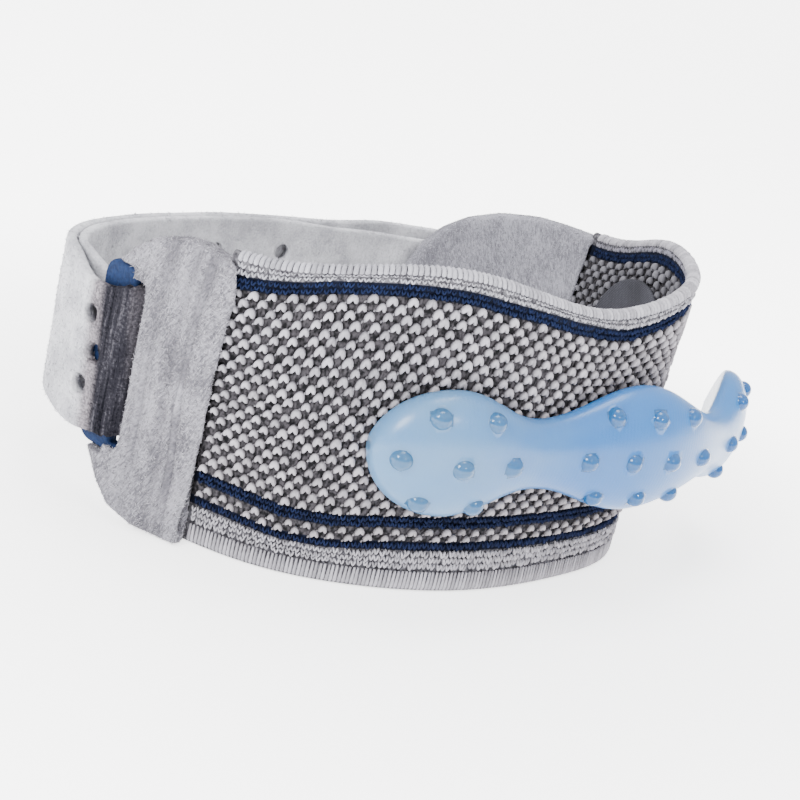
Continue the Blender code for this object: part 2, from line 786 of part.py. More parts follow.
def main():
    """Build every piece of the strap."""
    clear_scene()
    collection = bpy.data.collections.new("patella_strap")
    bpy.context.scene.collection.children.link(collection)
    pieces = [
        make_knit_band(),
        make_near_tab(),
        make_far_tab(),
        make_slot_ring(),
        make_closure_strap(),
        make_hook_patch(),
        make_gel_pad(),
        make_pad_pocket(),
    ]
    centre_on_floor(pieces)
    whole = bpy.data.objects.new("strap_origin", None)
    collection.objects.link(whole)
    for piece in pieces:
        paint(piece)
        piece.parent = whole


main()
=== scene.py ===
# %% [markdown]
# # A patella strap
# A patella strap is a band that is worn just below the kneecap. This one has a knitted
# elastic band, a felt tab at each of its ends, a fabric strap that closes it at the back
# through a moulded ring, and a gel pad with studs. The CAD parts give the frame, and this
# lesson dresses each of them with cloth, stitches and fibres.

# %% Frame
import math

import bmesh
import bpy
import numpy as np
from mathutils import Matrix, Vector


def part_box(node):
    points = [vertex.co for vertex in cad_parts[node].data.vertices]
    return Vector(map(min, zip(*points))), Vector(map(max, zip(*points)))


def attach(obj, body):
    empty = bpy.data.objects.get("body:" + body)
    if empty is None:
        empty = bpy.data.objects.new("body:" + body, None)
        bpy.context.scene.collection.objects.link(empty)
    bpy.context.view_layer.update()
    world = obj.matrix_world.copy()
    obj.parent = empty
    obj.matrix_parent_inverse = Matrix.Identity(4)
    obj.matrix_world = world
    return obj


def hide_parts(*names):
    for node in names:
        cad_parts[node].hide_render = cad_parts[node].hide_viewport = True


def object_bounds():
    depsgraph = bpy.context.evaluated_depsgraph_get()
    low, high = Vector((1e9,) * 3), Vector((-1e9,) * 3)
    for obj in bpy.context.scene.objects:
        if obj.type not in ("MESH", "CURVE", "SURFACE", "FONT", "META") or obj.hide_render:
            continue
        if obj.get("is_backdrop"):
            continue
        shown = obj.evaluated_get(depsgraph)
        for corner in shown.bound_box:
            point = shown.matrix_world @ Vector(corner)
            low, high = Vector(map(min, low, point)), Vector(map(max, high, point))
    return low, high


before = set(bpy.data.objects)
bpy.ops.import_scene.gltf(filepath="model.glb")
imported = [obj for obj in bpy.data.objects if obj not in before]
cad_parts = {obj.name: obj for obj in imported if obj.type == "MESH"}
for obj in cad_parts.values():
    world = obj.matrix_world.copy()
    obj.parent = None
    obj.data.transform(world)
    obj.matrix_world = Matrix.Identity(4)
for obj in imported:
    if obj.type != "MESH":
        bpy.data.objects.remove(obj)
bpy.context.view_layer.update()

# %% [markdown]
# ## The plan of the band
# Every piece is cut and sewn flat on the table first: x runs along the band, -y points
# away from the knee and z is the height. Then the flat piece is bent round one closed
# curve, as the knee would bend it. The curve goes through twelve given stations, and a
# periodic cubic spline joins them, so it has no kink where it closes.

# %% Plan curve
LOOP_LENGTH = 0.1270
LOOP_WIDTH = 0.0897
LOOP_STATIONS = (
    # share of half the length, share of half the width
    (-0.733, -0.553), (-0.444, -0.875), (0.017, -1.000), (0.481, -0.910),
    (0.846, -0.662), (0.991, 0.007), (0.934, 0.570), (0.553, 0.930),
    (-0.035, 0.986), (-0.603, 0.791), (-0.950, 0.417), (-0.933, -0.075),
)


def loop_table():
    """Distance along the closed curve, its points and its outward normals."""
    points = np.array(LOOP_STATIONS) * (LOOP_LENGTH / 2, LOOP_WIDTH / 2)
    count = len(points)
    rows = 4.0 * np.eye(count) + np.roll(np.eye(count), 1, 0) + np.roll(np.eye(count), -1, 0)
    bends = 6.0 * (np.roll(points, 1, 0) - 2.0 * points + np.roll(points, -1, 0))
    second = np.linalg.solve(rows, bends)
    where = np.linspace(0.0, count, 2401)
    i = np.minimum(where.astype(int), count - 1)
    j = (i + 1) % count
    b = (where - i)[:, None]
    a = 1.0 - b
    curve = (a * points[i] + b * points[j]
             + ((a ** 3 - a) * second[i] + (b ** 3 - b) * second[j]) / 6.0)
    slope = (points[j] - points[i]
             + (-(3 * a ** 2 - 1) * second[i] + (3 * b ** 2 - 1) * second[j]) / 6.0)
    slope /= np.linalg.norm(slope, axis=1)[:, None]
    steps = np.linalg.norm(np.diff(curve, axis=0), axis=1)
    return (np.concatenate([[0.0], np.cumsum(steps)]), curve,
            np.stack([slope[:, 1], -slope[:, 0]], axis=1))


ALONG, CURVE, OUTWARD = loop_table()
GIRTH = ALONG[-1]
print("girth of the band in mm:", round(1000 * GIRTH, 1))

# %% [markdown]
# The band leans a little: its lower edge is tucked in toward the knee by the seams. So a
# flat point is moved by its distance along the curve, its distance outward and its height.
# All three go through numpy at once, because a knitted band has many thousands of points.

# %% Bending a flat piece
KNIT_LENGTH = 0.1555
KNIT_HEIGHT = 0.0580
KNIT_CREST = 0.0058
FAR_RISE = 0.0022
FAR_RISE_AT = 0.84
FAR_RISE_SPREAD = 0.085
KNIT_WALL = 0.0018
LEAN_AT_SEAMS = 0.0034
LEAN_AT_MIDDLE = -0.0010
LEAN_FADE = 0.0200
TONGUE = 0.0060
HEM_SWELL = 0.0004
origin = np.zeros(3)


def lean(s):
    """How far the lower edge leans in toward the knee."""
    s = np.where(s > GIRTH / 2 + KNIT_LENGTH / 2, s - GIRTH, s)
    beyond = np.maximum(np.maximum(-s, s - KNIT_LENGTH), 0.0)
    outside = LEAN_AT_SEAMS * (0.5 + 0.5 * np.cos(np.pi * np.minimum(beyond / LEAN_FADE, 1.0)))
    middle = np.sin(np.pi * s / KNIT_LENGTH) ** 2
    inside = LEAN_AT_SEAMS + (LEAN_AT_MIDDLE - LEAN_AT_SEAMS) * middle
    return np.where(beyond > 0.0, outside, inside)


def place(s, out, z):
    """Places of flat points on the bent band."""
    s, out, z = (np.asarray(v, float) for v in (s, out, z))
    turn = s % GIRTH
    x, y = (np.interp(turn, ALONG, CURVE[:, k]) for k in (0, 1))
    nx, ny = (np.interp(turn, ALONG, OUTWARD[:, k]) for k in (0, 1))
    out = out - lean(turn) * (1.0 - z / KNIT_HEIGHT)
    return np.stack([x + nx * out, y + ny * out, z], axis=-1) - origin


def top_edge(s):
    """Height of the knitted band: a crest over each quarter, the far one a little higher."""
    share = np.clip(np.asarray(s, float) / KNIT_LENGTH, 0.0, 1.0)
    rise = FAR_RISE * np.exp(-((share - FAR_RISE_AT) / FAR_RISE_SPREAD) ** 2)
    return KNIT_HEIGHT + KNIT_CREST * np.sin(2 * np.pi * share) ** 2 + rise


grid = [(s, out, z) for s in np.linspace(0.0003, KNIT_LENGTH - 0.0003, 300)
        for z in (0.0018, 0.0562) for out in (HEM_SWELL, -KNIT_WALL - HEM_SWELL)]
grid += [(s, out, z) for s in (-TONGUE, KNIT_LENGTH + TONGUE) for z in (0.003, 0.055)
         for out in (0.0, -KNIT_WALL)]
rough = place(*np.array(grid).T)
knit_low = np.array(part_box("knit_band")[0])
origin = np.array([rough[:, 0].min() - knit_low[0], rough[:, 1].min() - knit_low[1], 0.0])
print("the curve moves by, in mm:", (1000 * origin).round(2))

# %% [markdown]
# The rows of the knit aren't quite level: the band is pulled up and down as it is worn, so
# its lower stripes rise by up to 2 mm toward the middle and its upper stripe comes closer
# to the rim. Two short tables hold that, and each fades out toward the rims.

# %% Rise of the stripes
RISES = (
    # distance along the band, rise of the lower stripes, rise of the upper stripe
    (0.000, 0.0009, 0.0000), (0.008, 0.0005, 0.0008), (0.018, -0.0004, 0.0018),
    (0.028, -0.0002, 0.0014), (0.038, 0.0011, 0.0010), (0.050, 0.0017, 0.0009),
    (0.062, 0.0019, 0.0016), (0.072, 0.0018, 0.0015), (0.084, 0.0015, 0.0004),
    (0.098, 0.0017, 0.0006), (0.112, 0.0014, 0.0003), (0.156, 0.0008, 0.0000),
)


def ease(low, high, value):
    """Smooth share from 0 at low to 1 at high."""
    share = np.clip((np.asarray(value, float) - low) / (high - low), 0.0, 1.0)
    return share * share * (3.0 - 2.0 * share)


def pattern_rise(s, z):
    """How far a place of the knitted pattern is moved up, from its distance and height."""
    stations, low, high = np.array(RISES).T
    top = top_edge(s)
    near_floor = ease(0.002, 0.009, z) * (1.0 - ease(0.016, 0.046, z))
    near_rim = ease(0.034, 0.052, z) * (1.0 - ease(top - 0.0042, top - 0.0006, z))
    return np.interp(s, stations, low) * near_floor + np.interp(s, stations, high) * near_rim


def pattern_height(s, z):
    """Height that a place had before the pattern was moved up."""
    before = np.array(z, float)
    for _ in range(6):
        before = z - pattern_rise(s, before)
    return before


# %% Helpers for flat pieces
def new_piece(name, mesh):
    """Link a mesh as a new piece."""
    thing = bpy.data.objects.new(name, mesh)
    bpy.context.scene.collection.objects.link(thing)
    return thing


def bend(thing, route=place):
    """Bend a flat piece, and keep its flat places as attributes for its material."""
    mesh = thing.data
    flat = np.empty(3 * len(mesh.vertices))
    mesh.vertices.foreach_get("co", flat)
    flat = flat.reshape(-1, 3)
    for name, values in (("along", flat[:, 0]), ("out", -flat[:, 1]), ("height", flat[:, 2])):
        kept = mesh.attributes.new(name, "FLOAT", "POINT")
        kept.data.foreach_set("value", values.astype(np.float32))
    mesh.vertices.foreach_set("co", route(flat[:, 0], -flat[:, 1], flat[:, 2]).ravel())
    mesh.update()
    return thing


def smooth(thing):
    """Shade every face smoothly."""
    thing.data.polygons.foreach_set("use_smooth", [True] * len(thing.data.polygons))
    return thing


def loft(name, rings):
    """Closed piece through equal rings of flat (s, out, z) points."""
    shape = bmesh.new()
    rows = [[shape.verts.new((s, -out, z)) for s, out, z in ring] for ring in rings]
    for one, two in zip(rows, rows[1:]):
        for i in range(len(one)):
            j = (i + 1) % len(one)
            shape.faces.new((one[i], one[j], two[j], two[i]))
    for ring in (rows[0], rows[-1]):
        shape.faces.new(ring)
    bmesh.ops.recalc_face_normals(shape, faces=shape.faces)
    if shape.calc_volume(signed=True) < 0.0:
        bmesh.ops.reverse_faces(shape, faces=shape.faces)
    mesh = bpy.data.meshes.new(name)
    shape.to_mesh(mesh)
    shape.free()
    return new_piece(name, mesh)


def hidden_source(name, shape):
    """Hidden object of a shape that a tree repeats."""
    mesh = bpy.data.meshes.new(name)
    shape.to_mesh(mesh)
    shape.free()
    thing = new_piece(name, mesh)
    thing.hide_render = True
    return thing


def plain(thing):
    """Turn a piece with modifiers into a plain mesh."""
    bpy.context.view_layer.update()
    graph = bpy.context.evaluated_depsgraph_get()
    mesh = bpy.data.meshes.new_from_object(thing.evaluated_get(graph))
    name = thing.name
    bpy.data.objects.remove(thing)
    return new_piece(name, mesh)


def triangles(thing):
    """How many triangles a piece has."""
    return sum(len(face.vertices) - 2 for face in thing.data.polygons)


# %% [markdown]
# ## Camera
# The photograph looks down on the strap by twenty degrees, from its front left. The same
# view of a band that is 58 mm high was found by matching the ends of its seams.

# %% Camera
TURN = math.radians(34.0)
PITCH = 0.3503
ROLL = 0.2579
LENS = 62.616
CAMERA_AT = Vector((-0.14727, -0.233578, 0.123188)) - Vector(origin)
across = Vector((math.cos(TURN), -math.sin(TURN), 0.0))
ahead = Vector((math.sin(TURN), math.cos(TURN), 0.0))
forward = ahead * math.cos(PITCH) - Vector((0, 0, math.sin(PITCH)))
upward = ahead * math.sin(PITCH) + Vector((0, 0, math.cos(PITCH)))
right = across * math.cos(ROLL) + upward * math.sin(ROLL)
up = upward * math.cos(ROLL) - across * math.sin(ROLL)
lens = bpy.data.cameras.new("camera")
lens.lens = LENS
lens.clip_start = 0.01
camera = bpy.data.objects.new("camera", lens)
bpy.context.scene.collection.objects.link(camera)
turn_to = np.array([right, up, -forward]).T
camera.matrix_world = Matrix([[*turn_to[k], CAMERA_AT[k]] for k in range(3)] + [[0, 0, 0, 1]])
bpy.context.scene.camera = camera
print("camera is", round(1000 * CAMERA_AT.z), "mm above the floor")

# %% [markdown]
# ## Floor and light
# The strap stands on plain pale paper in a bright room. The paper is given a glow, which is
# painted light: it also lights the strap from below and keeps the shadow on the paper faint.
# The glow grows away from the strap, so the dimmer glow near it is a painted soft shadow.
# The room is brighter overhead than at the sides. One lamp at the upper left gives the cloth
# its relief, a larger one hangs overhead, and a small one in front puts glints on the gel.

# %% Floor and light
# Distance from the strap and strength of the paper's painted glow, near it and far from it.
GLOW_IN_PAINTED_SHADOW = (0.05, 2.1)
GLOW_BEYOND_PAINTED_SHADOW = (0.20, 4.2)
floor_mesh = bpy.data.meshes.new("floor")
floor_mesh.from_pydata([(-40, -40, 0), (40, -40, 0), (40, 40, 0), (-40, 40, 0)], [], [(0, 1, 2, 3)])
floor = new_piece("floor", floor_mesh)
paper = bpy.data.materials.new("paper")
paper.use_nodes = True
tree = paper.node_tree
shader = tree.nodes["Principled BSDF"]
shader.inputs["Base Color"].default_value = (0.80, 0.80, 0.80, 1)
shader.inputs["Roughness"].default_value = 0.95
shader.inputs["Specular IOR Level"].default_value = 0.0
shader.inputs["Emission Color"].default_value = (1.0, 1.0, 1.0, 1)
spot = tree.nodes.new("ShaderNodeTexCoord")
far = tree.nodes.new("ShaderNodeVectorMath")
far.operation = "LENGTH"
tree.links.new(spot.outputs["Object"], far.inputs[0])
# Painted light: the paper glows, dimmer near the strap as a painted soft shadow, brighter away from
# it.
painted_glow = tree.nodes.new("ShaderNodeMapRange")
painted_glow.interpolation_type = "SMOOTHSTEP"
painted_glow.inputs["From Min"].default_value = GLOW_IN_PAINTED_SHADOW[0]
painted_glow.inputs["To Min"].default_value = GLOW_IN_PAINTED_SHADOW[1]
painted_glow.inputs["From Max"].default_value = GLOW_BEYOND_PAINTED_SHADOW[0]
painted_glow.inputs["To Max"].default_value = GLOW_BEYOND_PAINTED_SHADOW[1]
tree.links.new(far.outputs["Value"], painted_glow.inputs["Value"])
tree.links.new(painted_glow.outputs[0], shader.inputs["Emission Strength"])
floor.data.materials.append(paper)
floor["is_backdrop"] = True

ROOM_SIDE = 1.1
ROOM_OVERHEAD = 2.6
world = bpy.data.worlds.new("room")
world.use_nodes = True
tree = world.node_tree
way = tree.nodes.new("ShaderNodeTexCoord")
parts = tree.nodes.new("ShaderNodeSeparateXYZ")
tree.links.new(way.outputs["Generated"], parts.inputs[0])
rise = tree.nodes.new("ShaderNodeMapRange")
rise.inputs["From Min"].default_value = 0.0
rise.inputs["From Max"].default_value = 0.9
rise.inputs["To Min"].default_value = ROOM_SIDE
rise.inputs["To Max"].default_value = ROOM_OVERHEAD
tree.links.new(parts.outputs["Z"], rise.inputs["Value"])
tree.links.new(rise.outputs[0], tree.nodes["Background"].inputs["Strength"])
tree.nodes["Background"].inputs["Color"].default_value = (1.0, 1.0, 1.0, 1)
bpy.context.scene.world = world

LAMPS_AIM = Vector((0, 0, 0.03))
for name, spot, size, power in (
    # name, place, size, power
    ("key", (-0.62, -0.22, 0.50), 0.30, 8.0),
    ("top", (0.05, 0.10, 0.80), 0.40, 5.0),
    ("glint", (0.02, -0.62, 0.42), 0.07, 1.6),
):
    lamp = bpy.data.lights.new(name, "AREA")
    lamp.shape = "DISK"
    lamp.size = size
    lamp.energy = power
    holder = bpy.data.objects.new(name, lamp)
    holder.location = spot
    beam = LAMPS_AIM - Vector(spot)
    holder.rotation_euler = beam.to_track_quat("-Z", "Y").to_euler()
    bpy.context.scene.collection.objects.link(holder)
print("floor and", len(bpy.data.lights), "lamps are ready")

# %% [markdown]
# ## Helpers for nodes
# Materials and stitch trees both are graphs of small nodes. One helper adds a node, sets
# its options and joins or sets its inputs, so a tree reads from top to bottom.

# %% Node helpers
def add(tree, kind, options=None, **inputs):
    """Add a node. An input named i0, i1 ... is taken by its number."""
    node = tree.nodes.new(kind)
    for name, value in (options or {}).items():
        setattr(node, name, value)
    for name, value in inputs.items():
        if name[0] == "i" and name[1:].isdigit():
            socket = node.inputs[int(name[1:])]
        else:
            socket = node.inputs[name.replace("_", " ")]
        if isinstance(value, bpy.types.NodeSocket):
            tree.links.new(value, socket)
        else:
            socket.default_value = value
    return node


def maths(tree, operation, one, two=0.0, three=0.0):
    """One step of arithmetic in a tree."""
    node = add(tree, "ShaderNodeMath", {"operation": operation}, i0=one, i1=two, i2=three)
    return node.outputs[0]


def start_material(name, roughness):
    """New material, its tree and its shader."""
    material = bpy.data.materials.new(name)
    material.use_nodes = True
    shader = material.node_tree.nodes["Principled BSDF"]
    shader.inputs["Roughness"].default_value = roughness
    return material, material.node_tree, shader


def flat_place(tree):
    """Where a point lay on the flat cloth, as one vector, and its three parts."""
    parts = [add(tree, "ShaderNodeAttribute", {"attribute_name": name}).outputs["Fac"]
             for name in ("along", "out", "height")]
    vector = add(tree, "ShaderNodeCombineXYZ", i0=parts[0], i1=parts[1], i2=parts[2])
    return vector.outputs[0], parts


def ramp(tree, factor, stops, smoothly=True):
    """Colours that follow a number."""
    node = add(tree, "ShaderNodeValToRGB", i0=factor)
    node.color_ramp.interpolation = "EASE" if smoothly else "LINEAR"
    while len(node.color_ramp.elements) < len(stops):
        node.color_ramp.elements.new(0.5)
    for element, (spot, colour) in zip(node.color_ramp.elements, stops):
        element.position = spot
        element.color = (*colour, 1.0)
    return node.outputs["Color"]


def noise(tree, where, scale, detail=3.0, rough=0.5, waver=0.0):
    """Soft random pattern, scale in spots per metre."""
    return add(tree, "ShaderNodeTexNoise", Vector=where, Scale=scale, Detail=detail,
               Roughness=rough, Distortion=waver).outputs["Fac"]


def mix(tree, share, one, two, how="MIX"):
    """Blend of two colours."""
    node = add(tree, "ShaderNodeMix", {"data_type": "RGBA", "blend_type": how}, i0=share,
               i6=one if isinstance(one, bpy.types.NodeSocket) else (*one, 1.0),
               i7=two if isinstance(two, bpy.types.NodeSocket) else (*two, 1.0))
    return node.outputs[2]


def bump(tree, shader, height, depth, strength=1.0):
    """Relief of a height from 0 to 1, depth in metres."""
    node = add(tree, "ShaderNodeBump", Height=height, Distance=depth, Strength=strength)
    tree.links.new(node.outputs["Normal"], shader.inputs["Normal"])


def stretched(tree, vector, size):
    """The same places, longer or shorter along each way of the cloth."""
    return add(tree, "ShaderNodeMapping", {"vector_type": "POINT"}, Vector=vector,
               Scale=size).outputs[0]


def combed(tree, vector, turn, long):
    """The same places turned on the cloth, and drawn out along its height."""
    return add(tree, "ShaderNodeMapping", {"vector_type": "TEXTURE"}, Vector=vector,
               Rotation=(0.0, turn, 0.0), Scale=(1.0, 1.0, long)).outputs[0]


print("node helpers are ready")

# %% [markdown]
# ## Yarn
# The band is knitted from a light grey yarn over a dark ground, with navy stripes. A yarn
# is never one flat colour: each stitch catches the light a little differently, and short
# filaments twist round it. So the colour reads a random shade of each stitch and the place
# along the band, where the grey turns from cool to warm.

# %% Yarn materials
def yarn(name, cool, warm, spread=0.25, painted_shade_at_ground=1.0):
    """Knitting yarn that turns from cool to warm along the band, with painted shade where it dives
    in.
    """
    material, tree, shader = start_material(name, 0.85)
    where, (along, out, height) = flat_place(tree)
    share = add(tree, "ShaderNodeMapRange", Value=along, i1=0.02, i2=0.11).outputs[0]
    low = add(tree, "ShaderNodeMapRange", Value=height, i1=0.045, i2=0.010).outputs[0]
    share = maths(tree, "MULTIPLY", maths(tree, "ADD", share, low), 0.5)
    colour = mix(tree, share, cool, warm)
    shade = add(tree, "ShaderNodeAttribute", {"attribute_name": "shade"}).outputs["Fac"]
    grain = noise(tree, stretched(tree, where, (1.0, 1.0, 0.45)), 2600.0, 2.0)
    value = maths(tree, "ADD", maths(tree, "MULTIPLY", shade, spread),
                  maths(tree, "MULTIPLY", grain, spread * 1.6))
    value = maths(tree, "ADD", value, 1.0 - spread * 1.25)
    # Painted shade: the yarn is darkened where it dives toward the ground of the knit.
    proud = maths(tree, "ABSOLUTE", maths(tree, "ADD", out, KNIT_WALL / 2))
    painted_depth_shade = add(tree, "ShaderNodeMapRange", Value=proud, i1=0.0003, i2=0.0014, i3=painted_shade_at_ground, i4=1.0)
    value = maths(tree, "MULTIPLY", value, painted_depth_shade.outputs[0])
    colour = mix(tree, 1.0, colour, add(tree, "ShaderNodeCombineColor", i0=value, i1=value,
                                        i2=value).outputs[0], "MULTIPLY")
    tree.links.new(colour, shader.inputs["Base Color"])
    shader.inputs["Specular IOR Level"].default_value = 0.08
    bump(tree, shader, grain, 0.00018, 1.0)
    return material


GREY_YARN = yarn("grey_yarn", (0.290, 0.280, 0.310), (0.262, 0.236, 0.246), 0.45, 0.20)
HEM_YARN = yarn("hem_yarn", (0.285, 0.283, 0.315), (0.270, 0.255, 0.275), 0.45)
NAVY_YARN = yarn("navy_yarn", (0.0065, 0.0110, 0.0340), (0.0060, 0.0090, 0.0270), 0.6)
INNER_YARN = yarn("inner_yarn", (0.115, 0.115, 0.13), (0.120, 0.115, 0.13), 0.4, 0.4)
INNER_HEM_YARN = yarn("inner_hem_yarn", (0.18, 0.175, 0.21), (0.18, 0.175, 0.21), 0.3)
print("yarns:", GREY_YARN.name, HEM_YARN.name, NAVY_YARN.name, INNER_YARN.name)

# %% [markdown]
# The cloth under the stitches is painted dark: that is painted shade, which falls between
# the stitches. It also carries the stripes, so that no grey shows between two navy stitches.
# Its top edge rises and falls, so the upper stripe reads the distance below that edge,
# which is kept as one more attribute.

# %% Ground material
STRIPES = (
    # low edge and high edge; the first is measured down from the top edge
    (0.0042, 0.0068),
    (0.0119, 0.0143),
    (0.0074, 0.0091),
)
INNER_STRIPE_RISE = 0.0014


def between(tree, value, low, high):
    """1 where the value lies between two places, with a short soft step."""
    rise = add(tree, "ShaderNodeMapRange", Value=value, i1=low - 0.0001, i2=low + 0.0001)
    fall = add(tree, "ShaderNodeMapRange", Value=value, i1=high + 0.0001, i2=high - 0.0001)
    return maths(tree, "MULTIPLY", rise.outputs[0], fall.outputs[0])


def knit_ground_material():
    """Ground of the knit, painted dark as the shade between stitches, with navy stripes and light
    hems.
    """
    material, tree, shader = start_material("knit_ground", 0.92)
    where, (along, out, height) = flat_place(tree)
    below = add(tree, "ShaderNodeAttribute", {"attribute_name": "below_top"}).outputs["Fac"]
    inside = maths(tree, "LESS_THAN", out, -KNIT_WALL / 2)
    below = maths(tree, "MULTIPLY_ADD", inside, INNER_STRIPE_RISE, below)
    grain = noise(tree, stretched(tree, where, (1.0, 1.0, 0.7)), 1500.0, 3.0)
    # Painted shade: the ground is near black between the field stitches, less dark under the hems.
    dark = ramp(tree, grain, ((0.36, (0.006, 0.006, 0.007)), (0.66, (0.055, 0.051, 0.057))))
    light = ramp(tree, grain, ((0.34, (0.030, 0.029, 0.034)), (0.70, (0.12, 0.117, 0.130))))
    navy = ramp(tree, grain, ((0.3, (0.0012, 0.002, 0.006)), (0.75, (0.003, 0.005, 0.015))))
    hems = maths(tree, "MAXIMUM", between(tree, below, -0.01, STRIPES[0][0]),
                 between(tree, height, -0.01, STRIPES[2][0]))
    stripes = maths(tree, "MAXIMUM", between(tree, below, *STRIPES[0]),
                    maths(tree, "MAXIMUM", between(tree, height, *STRIPES[1]),
                          between(tree, height, *STRIPES[2])))
    colour = mix(tree, stripes, mix(tree, hems, dark, light), navy)
    tree.links.new(colour, shader.inputs["Base Color"])
    shader.inputs["Specular IOR Level"].default_value = 0.1
    bump(tree, shader, grain, 0.0003)
    return material


KNIT_GROUND = knit_ground_material()
print("stripes in mm:", [[round(1000 * v, 1) for v in stripe] for stripe in STRIPES])

# %% [markdown]
# ## Knitted band
# The wall is 1.8 mm thick. In its field the ground lies a little under the face, so that
# the stitches fill it up, and at both edges the knit is rolled into a round hem.

# %% Knitted ground
GROUND_SINK = 0.0005
HEM_RADIUS = 0.0011


def wall_profile(s):
    """Closed section of the wall, up its outer face and down its inner face."""
    high = float(top_edge(s))
    middle = -KNIT_WALL / 2
    half = KNIT_WALL / 2 - GROUND_SINK
    face = []
    for i in range(7):
        turn = math.radians(-90 + 90 * i / 6)
        face.append((HEM_RADIUS * math.cos(turn), HEM_RADIUS + HEM_RADIUS * math.sin(turn)))
    face += [(HEM_RADIUS, 0.0024), (HEM_RADIUS * 0.9, 0.0034), (half + 0.0001, 0.0040),
             (half, 0.0044), (half + 0.0003, 0.0052), (half + 0.0003, 0.0068), (half, 0.0076)]
    for i in range(1, 12):
        face.append((half, 0.0076 + (high - 0.0076 - 0.0066) * i / 12))
    face += [(half, high - 0.0066), (half + 0.0001, high - 0.0044),
             (half + 0.0003, high - 0.0036), (HEM_RADIUS * 0.94, high - 0.0022)]
    for i in range(7):
        turn = math.radians(90 * i / 6)
        face.append((HEM_RADIUS * math.cos(turn), high - HEM_RADIUS + HEM_RADIUS * math.sin(turn)))
    back = [(-out, z) for out, z in reversed(face[1:-1])]
    return [(s, middle + out, z) for out, z in face + back]


def spread(low, high, step):
    """Even places from low to high, about a step apart."""
    return np.linspace(low, high, max(int(round((high - low) / step)), 1) + 1)


WALL_PAST_SEAM = 0.0008
knit = loft("knit_band_cloth", [
    wall_profile(s) for s in spread(-WALL_PAST_SEAM, KNIT_LENGTH + WALL_PAST_SEAM, 0.0012)])
flat_x = np.array([v.co.x for v in knit.data.vertices])
flat_z = np.array([v.co.z for v in knit.data.vertices])
bend(knit)
flat_z = pattern_height(flat_x, flat_z)
kept = knit.data.attributes.new("below_top", "FLOAT", "POINT")
kept.data.foreach_set("value", (top_edge(flat_x) - flat_z).astype(np.float32))
knit.data.attributes["height"].data.foreach_set("value", flat_z.astype(np.float32))
knit.data.materials.append(KNIT_GROUND)
smooth(knit)
print("knitted ground:", triangles(knit), "triangles")

# %% [markdown]
# ## One stitch of each kind
# The field is made of fat loops: a rounded head with two legs that taper down, and a short
# end of yarn beside it. The hems and stripes are made of small V stitches, and round ribs
# wrap over the rims. Each is one low mesh of a few dozen faces, because it is repeated
# many hundreds of times.

# %% Stitch shapes
HEAD_RINGS = ((1.0, -0.25), (0.92, 0.53), (0.58, 0.92))
STROKE_RINGS = ((1.0, -0.25), (0.78, 0.75))


def dome(shape, outline, height, middle, sunk, steps):
    """Rounded blob on the cloth from an outline of (x, z), in millimetres."""
    rings = []
    for share, rise in steps:
        rings.append([shape.verts.new((0.001 * (middle[0] + (x - middle[0]) * share),
                                       -0.001 * height * rise,
                                       0.001 * (middle[1] + (z - middle[1]) * share)))
                      for x, z in outline])
    tip = shape.verts.new((0.001 * middle[0], -0.001 * height * (1.0 - sunk), 0.001 * middle[1]))
    count = len(outline)
    for one, two in zip(rings, rings[1:]):
        for i in range(count):
            j = (i + 1) % count
            shape.faces.new((one[i], one[j], two[j], two[i]))
    for i in range(count):
        shape.faces.new((rings[-1][i], rings[-1][(i + 1) % count], tip))
    shape.faces.new(list(reversed(rings[0])))


def pattern_stitch(name, parts):
    """Hidden source object of one stitch, from (outline, height, middle, sunk, rings) parts."""
    shape = bmesh.new()
    for part in parts:
        dome(shape, *part)
    bmesh.ops.recalc_face_normals(shape, faces=shape.faces)
    return smooth(hidden_source(name, shape))


def stroke(x, z, length, width, turn, count=7):
    """Outline of a short slanted yarn."""
    c, s = math.cos(math.radians(turn)), math.sin(math.radians(turn))
    return [(x + length / 2 * math.cos(t) * c - width / 2 * math.sin(t) * s,
             z + length / 2 * math.cos(t) * s + width / 2 * math.sin(t) * c)
            for t in np.linspace(0, 2 * math.pi, count, endpoint=False)]


HEAD = ((0.0, 0.92), (0.46, 0.78), (0.82, 0.34), (1.00, -0.22), (0.90, -0.74), (0.50, -0.74),
        (0.04, -0.22), (-0.44, -0.76), (-0.86, -0.80), (-1.00, -0.24), (-0.82, 0.32), (-0.46, 0.76))
LOOP_STITCH = pattern_stitch("loop_stitch", (
    (HEAD, 1.00, (0.0, 0.36), 0.10, HEAD_RINGS),
    (stroke(-1.12, -0.70, 0.80, 0.42, 50, 6), 0.42, (-1.12, -0.70), 0.0, STROKE_RINGS),
))
V_STITCH = pattern_stitch("v_stitch", (
    (stroke(-0.22, 0.0, 1.30, 0.40, -66, 6), 0.52, (-0.22, 0.0), 0.0, STROKE_RINGS),
    (stroke(0.22, 0.0, 1.30, 0.40, 66, 6), 0.52, (0.22, 0.0), 0.0, STROKE_RINGS),
))
print("one loop:", triangles(LOOP_STITCH), "triangles; one V:", triangles(V_STITCH))

# %% [markdown]
# ## Rows of stitches
# Geometry Nodes lay the rows. A line of points gives one point for each stitch, and its
# number is split into a column and a row. Every second row is moved by half a stitch. The
# rows spread between two heights. The stitch is put on each point, turned and scaled a
# little at random with a fixed seed, and gets its own shade. Last come Realize Instances
# and Set Material. The top edge of the band rises and falls, so the plain mesh is pulled up
# under it afterwards, its upper rows by the whole rise and its lower rows by less.

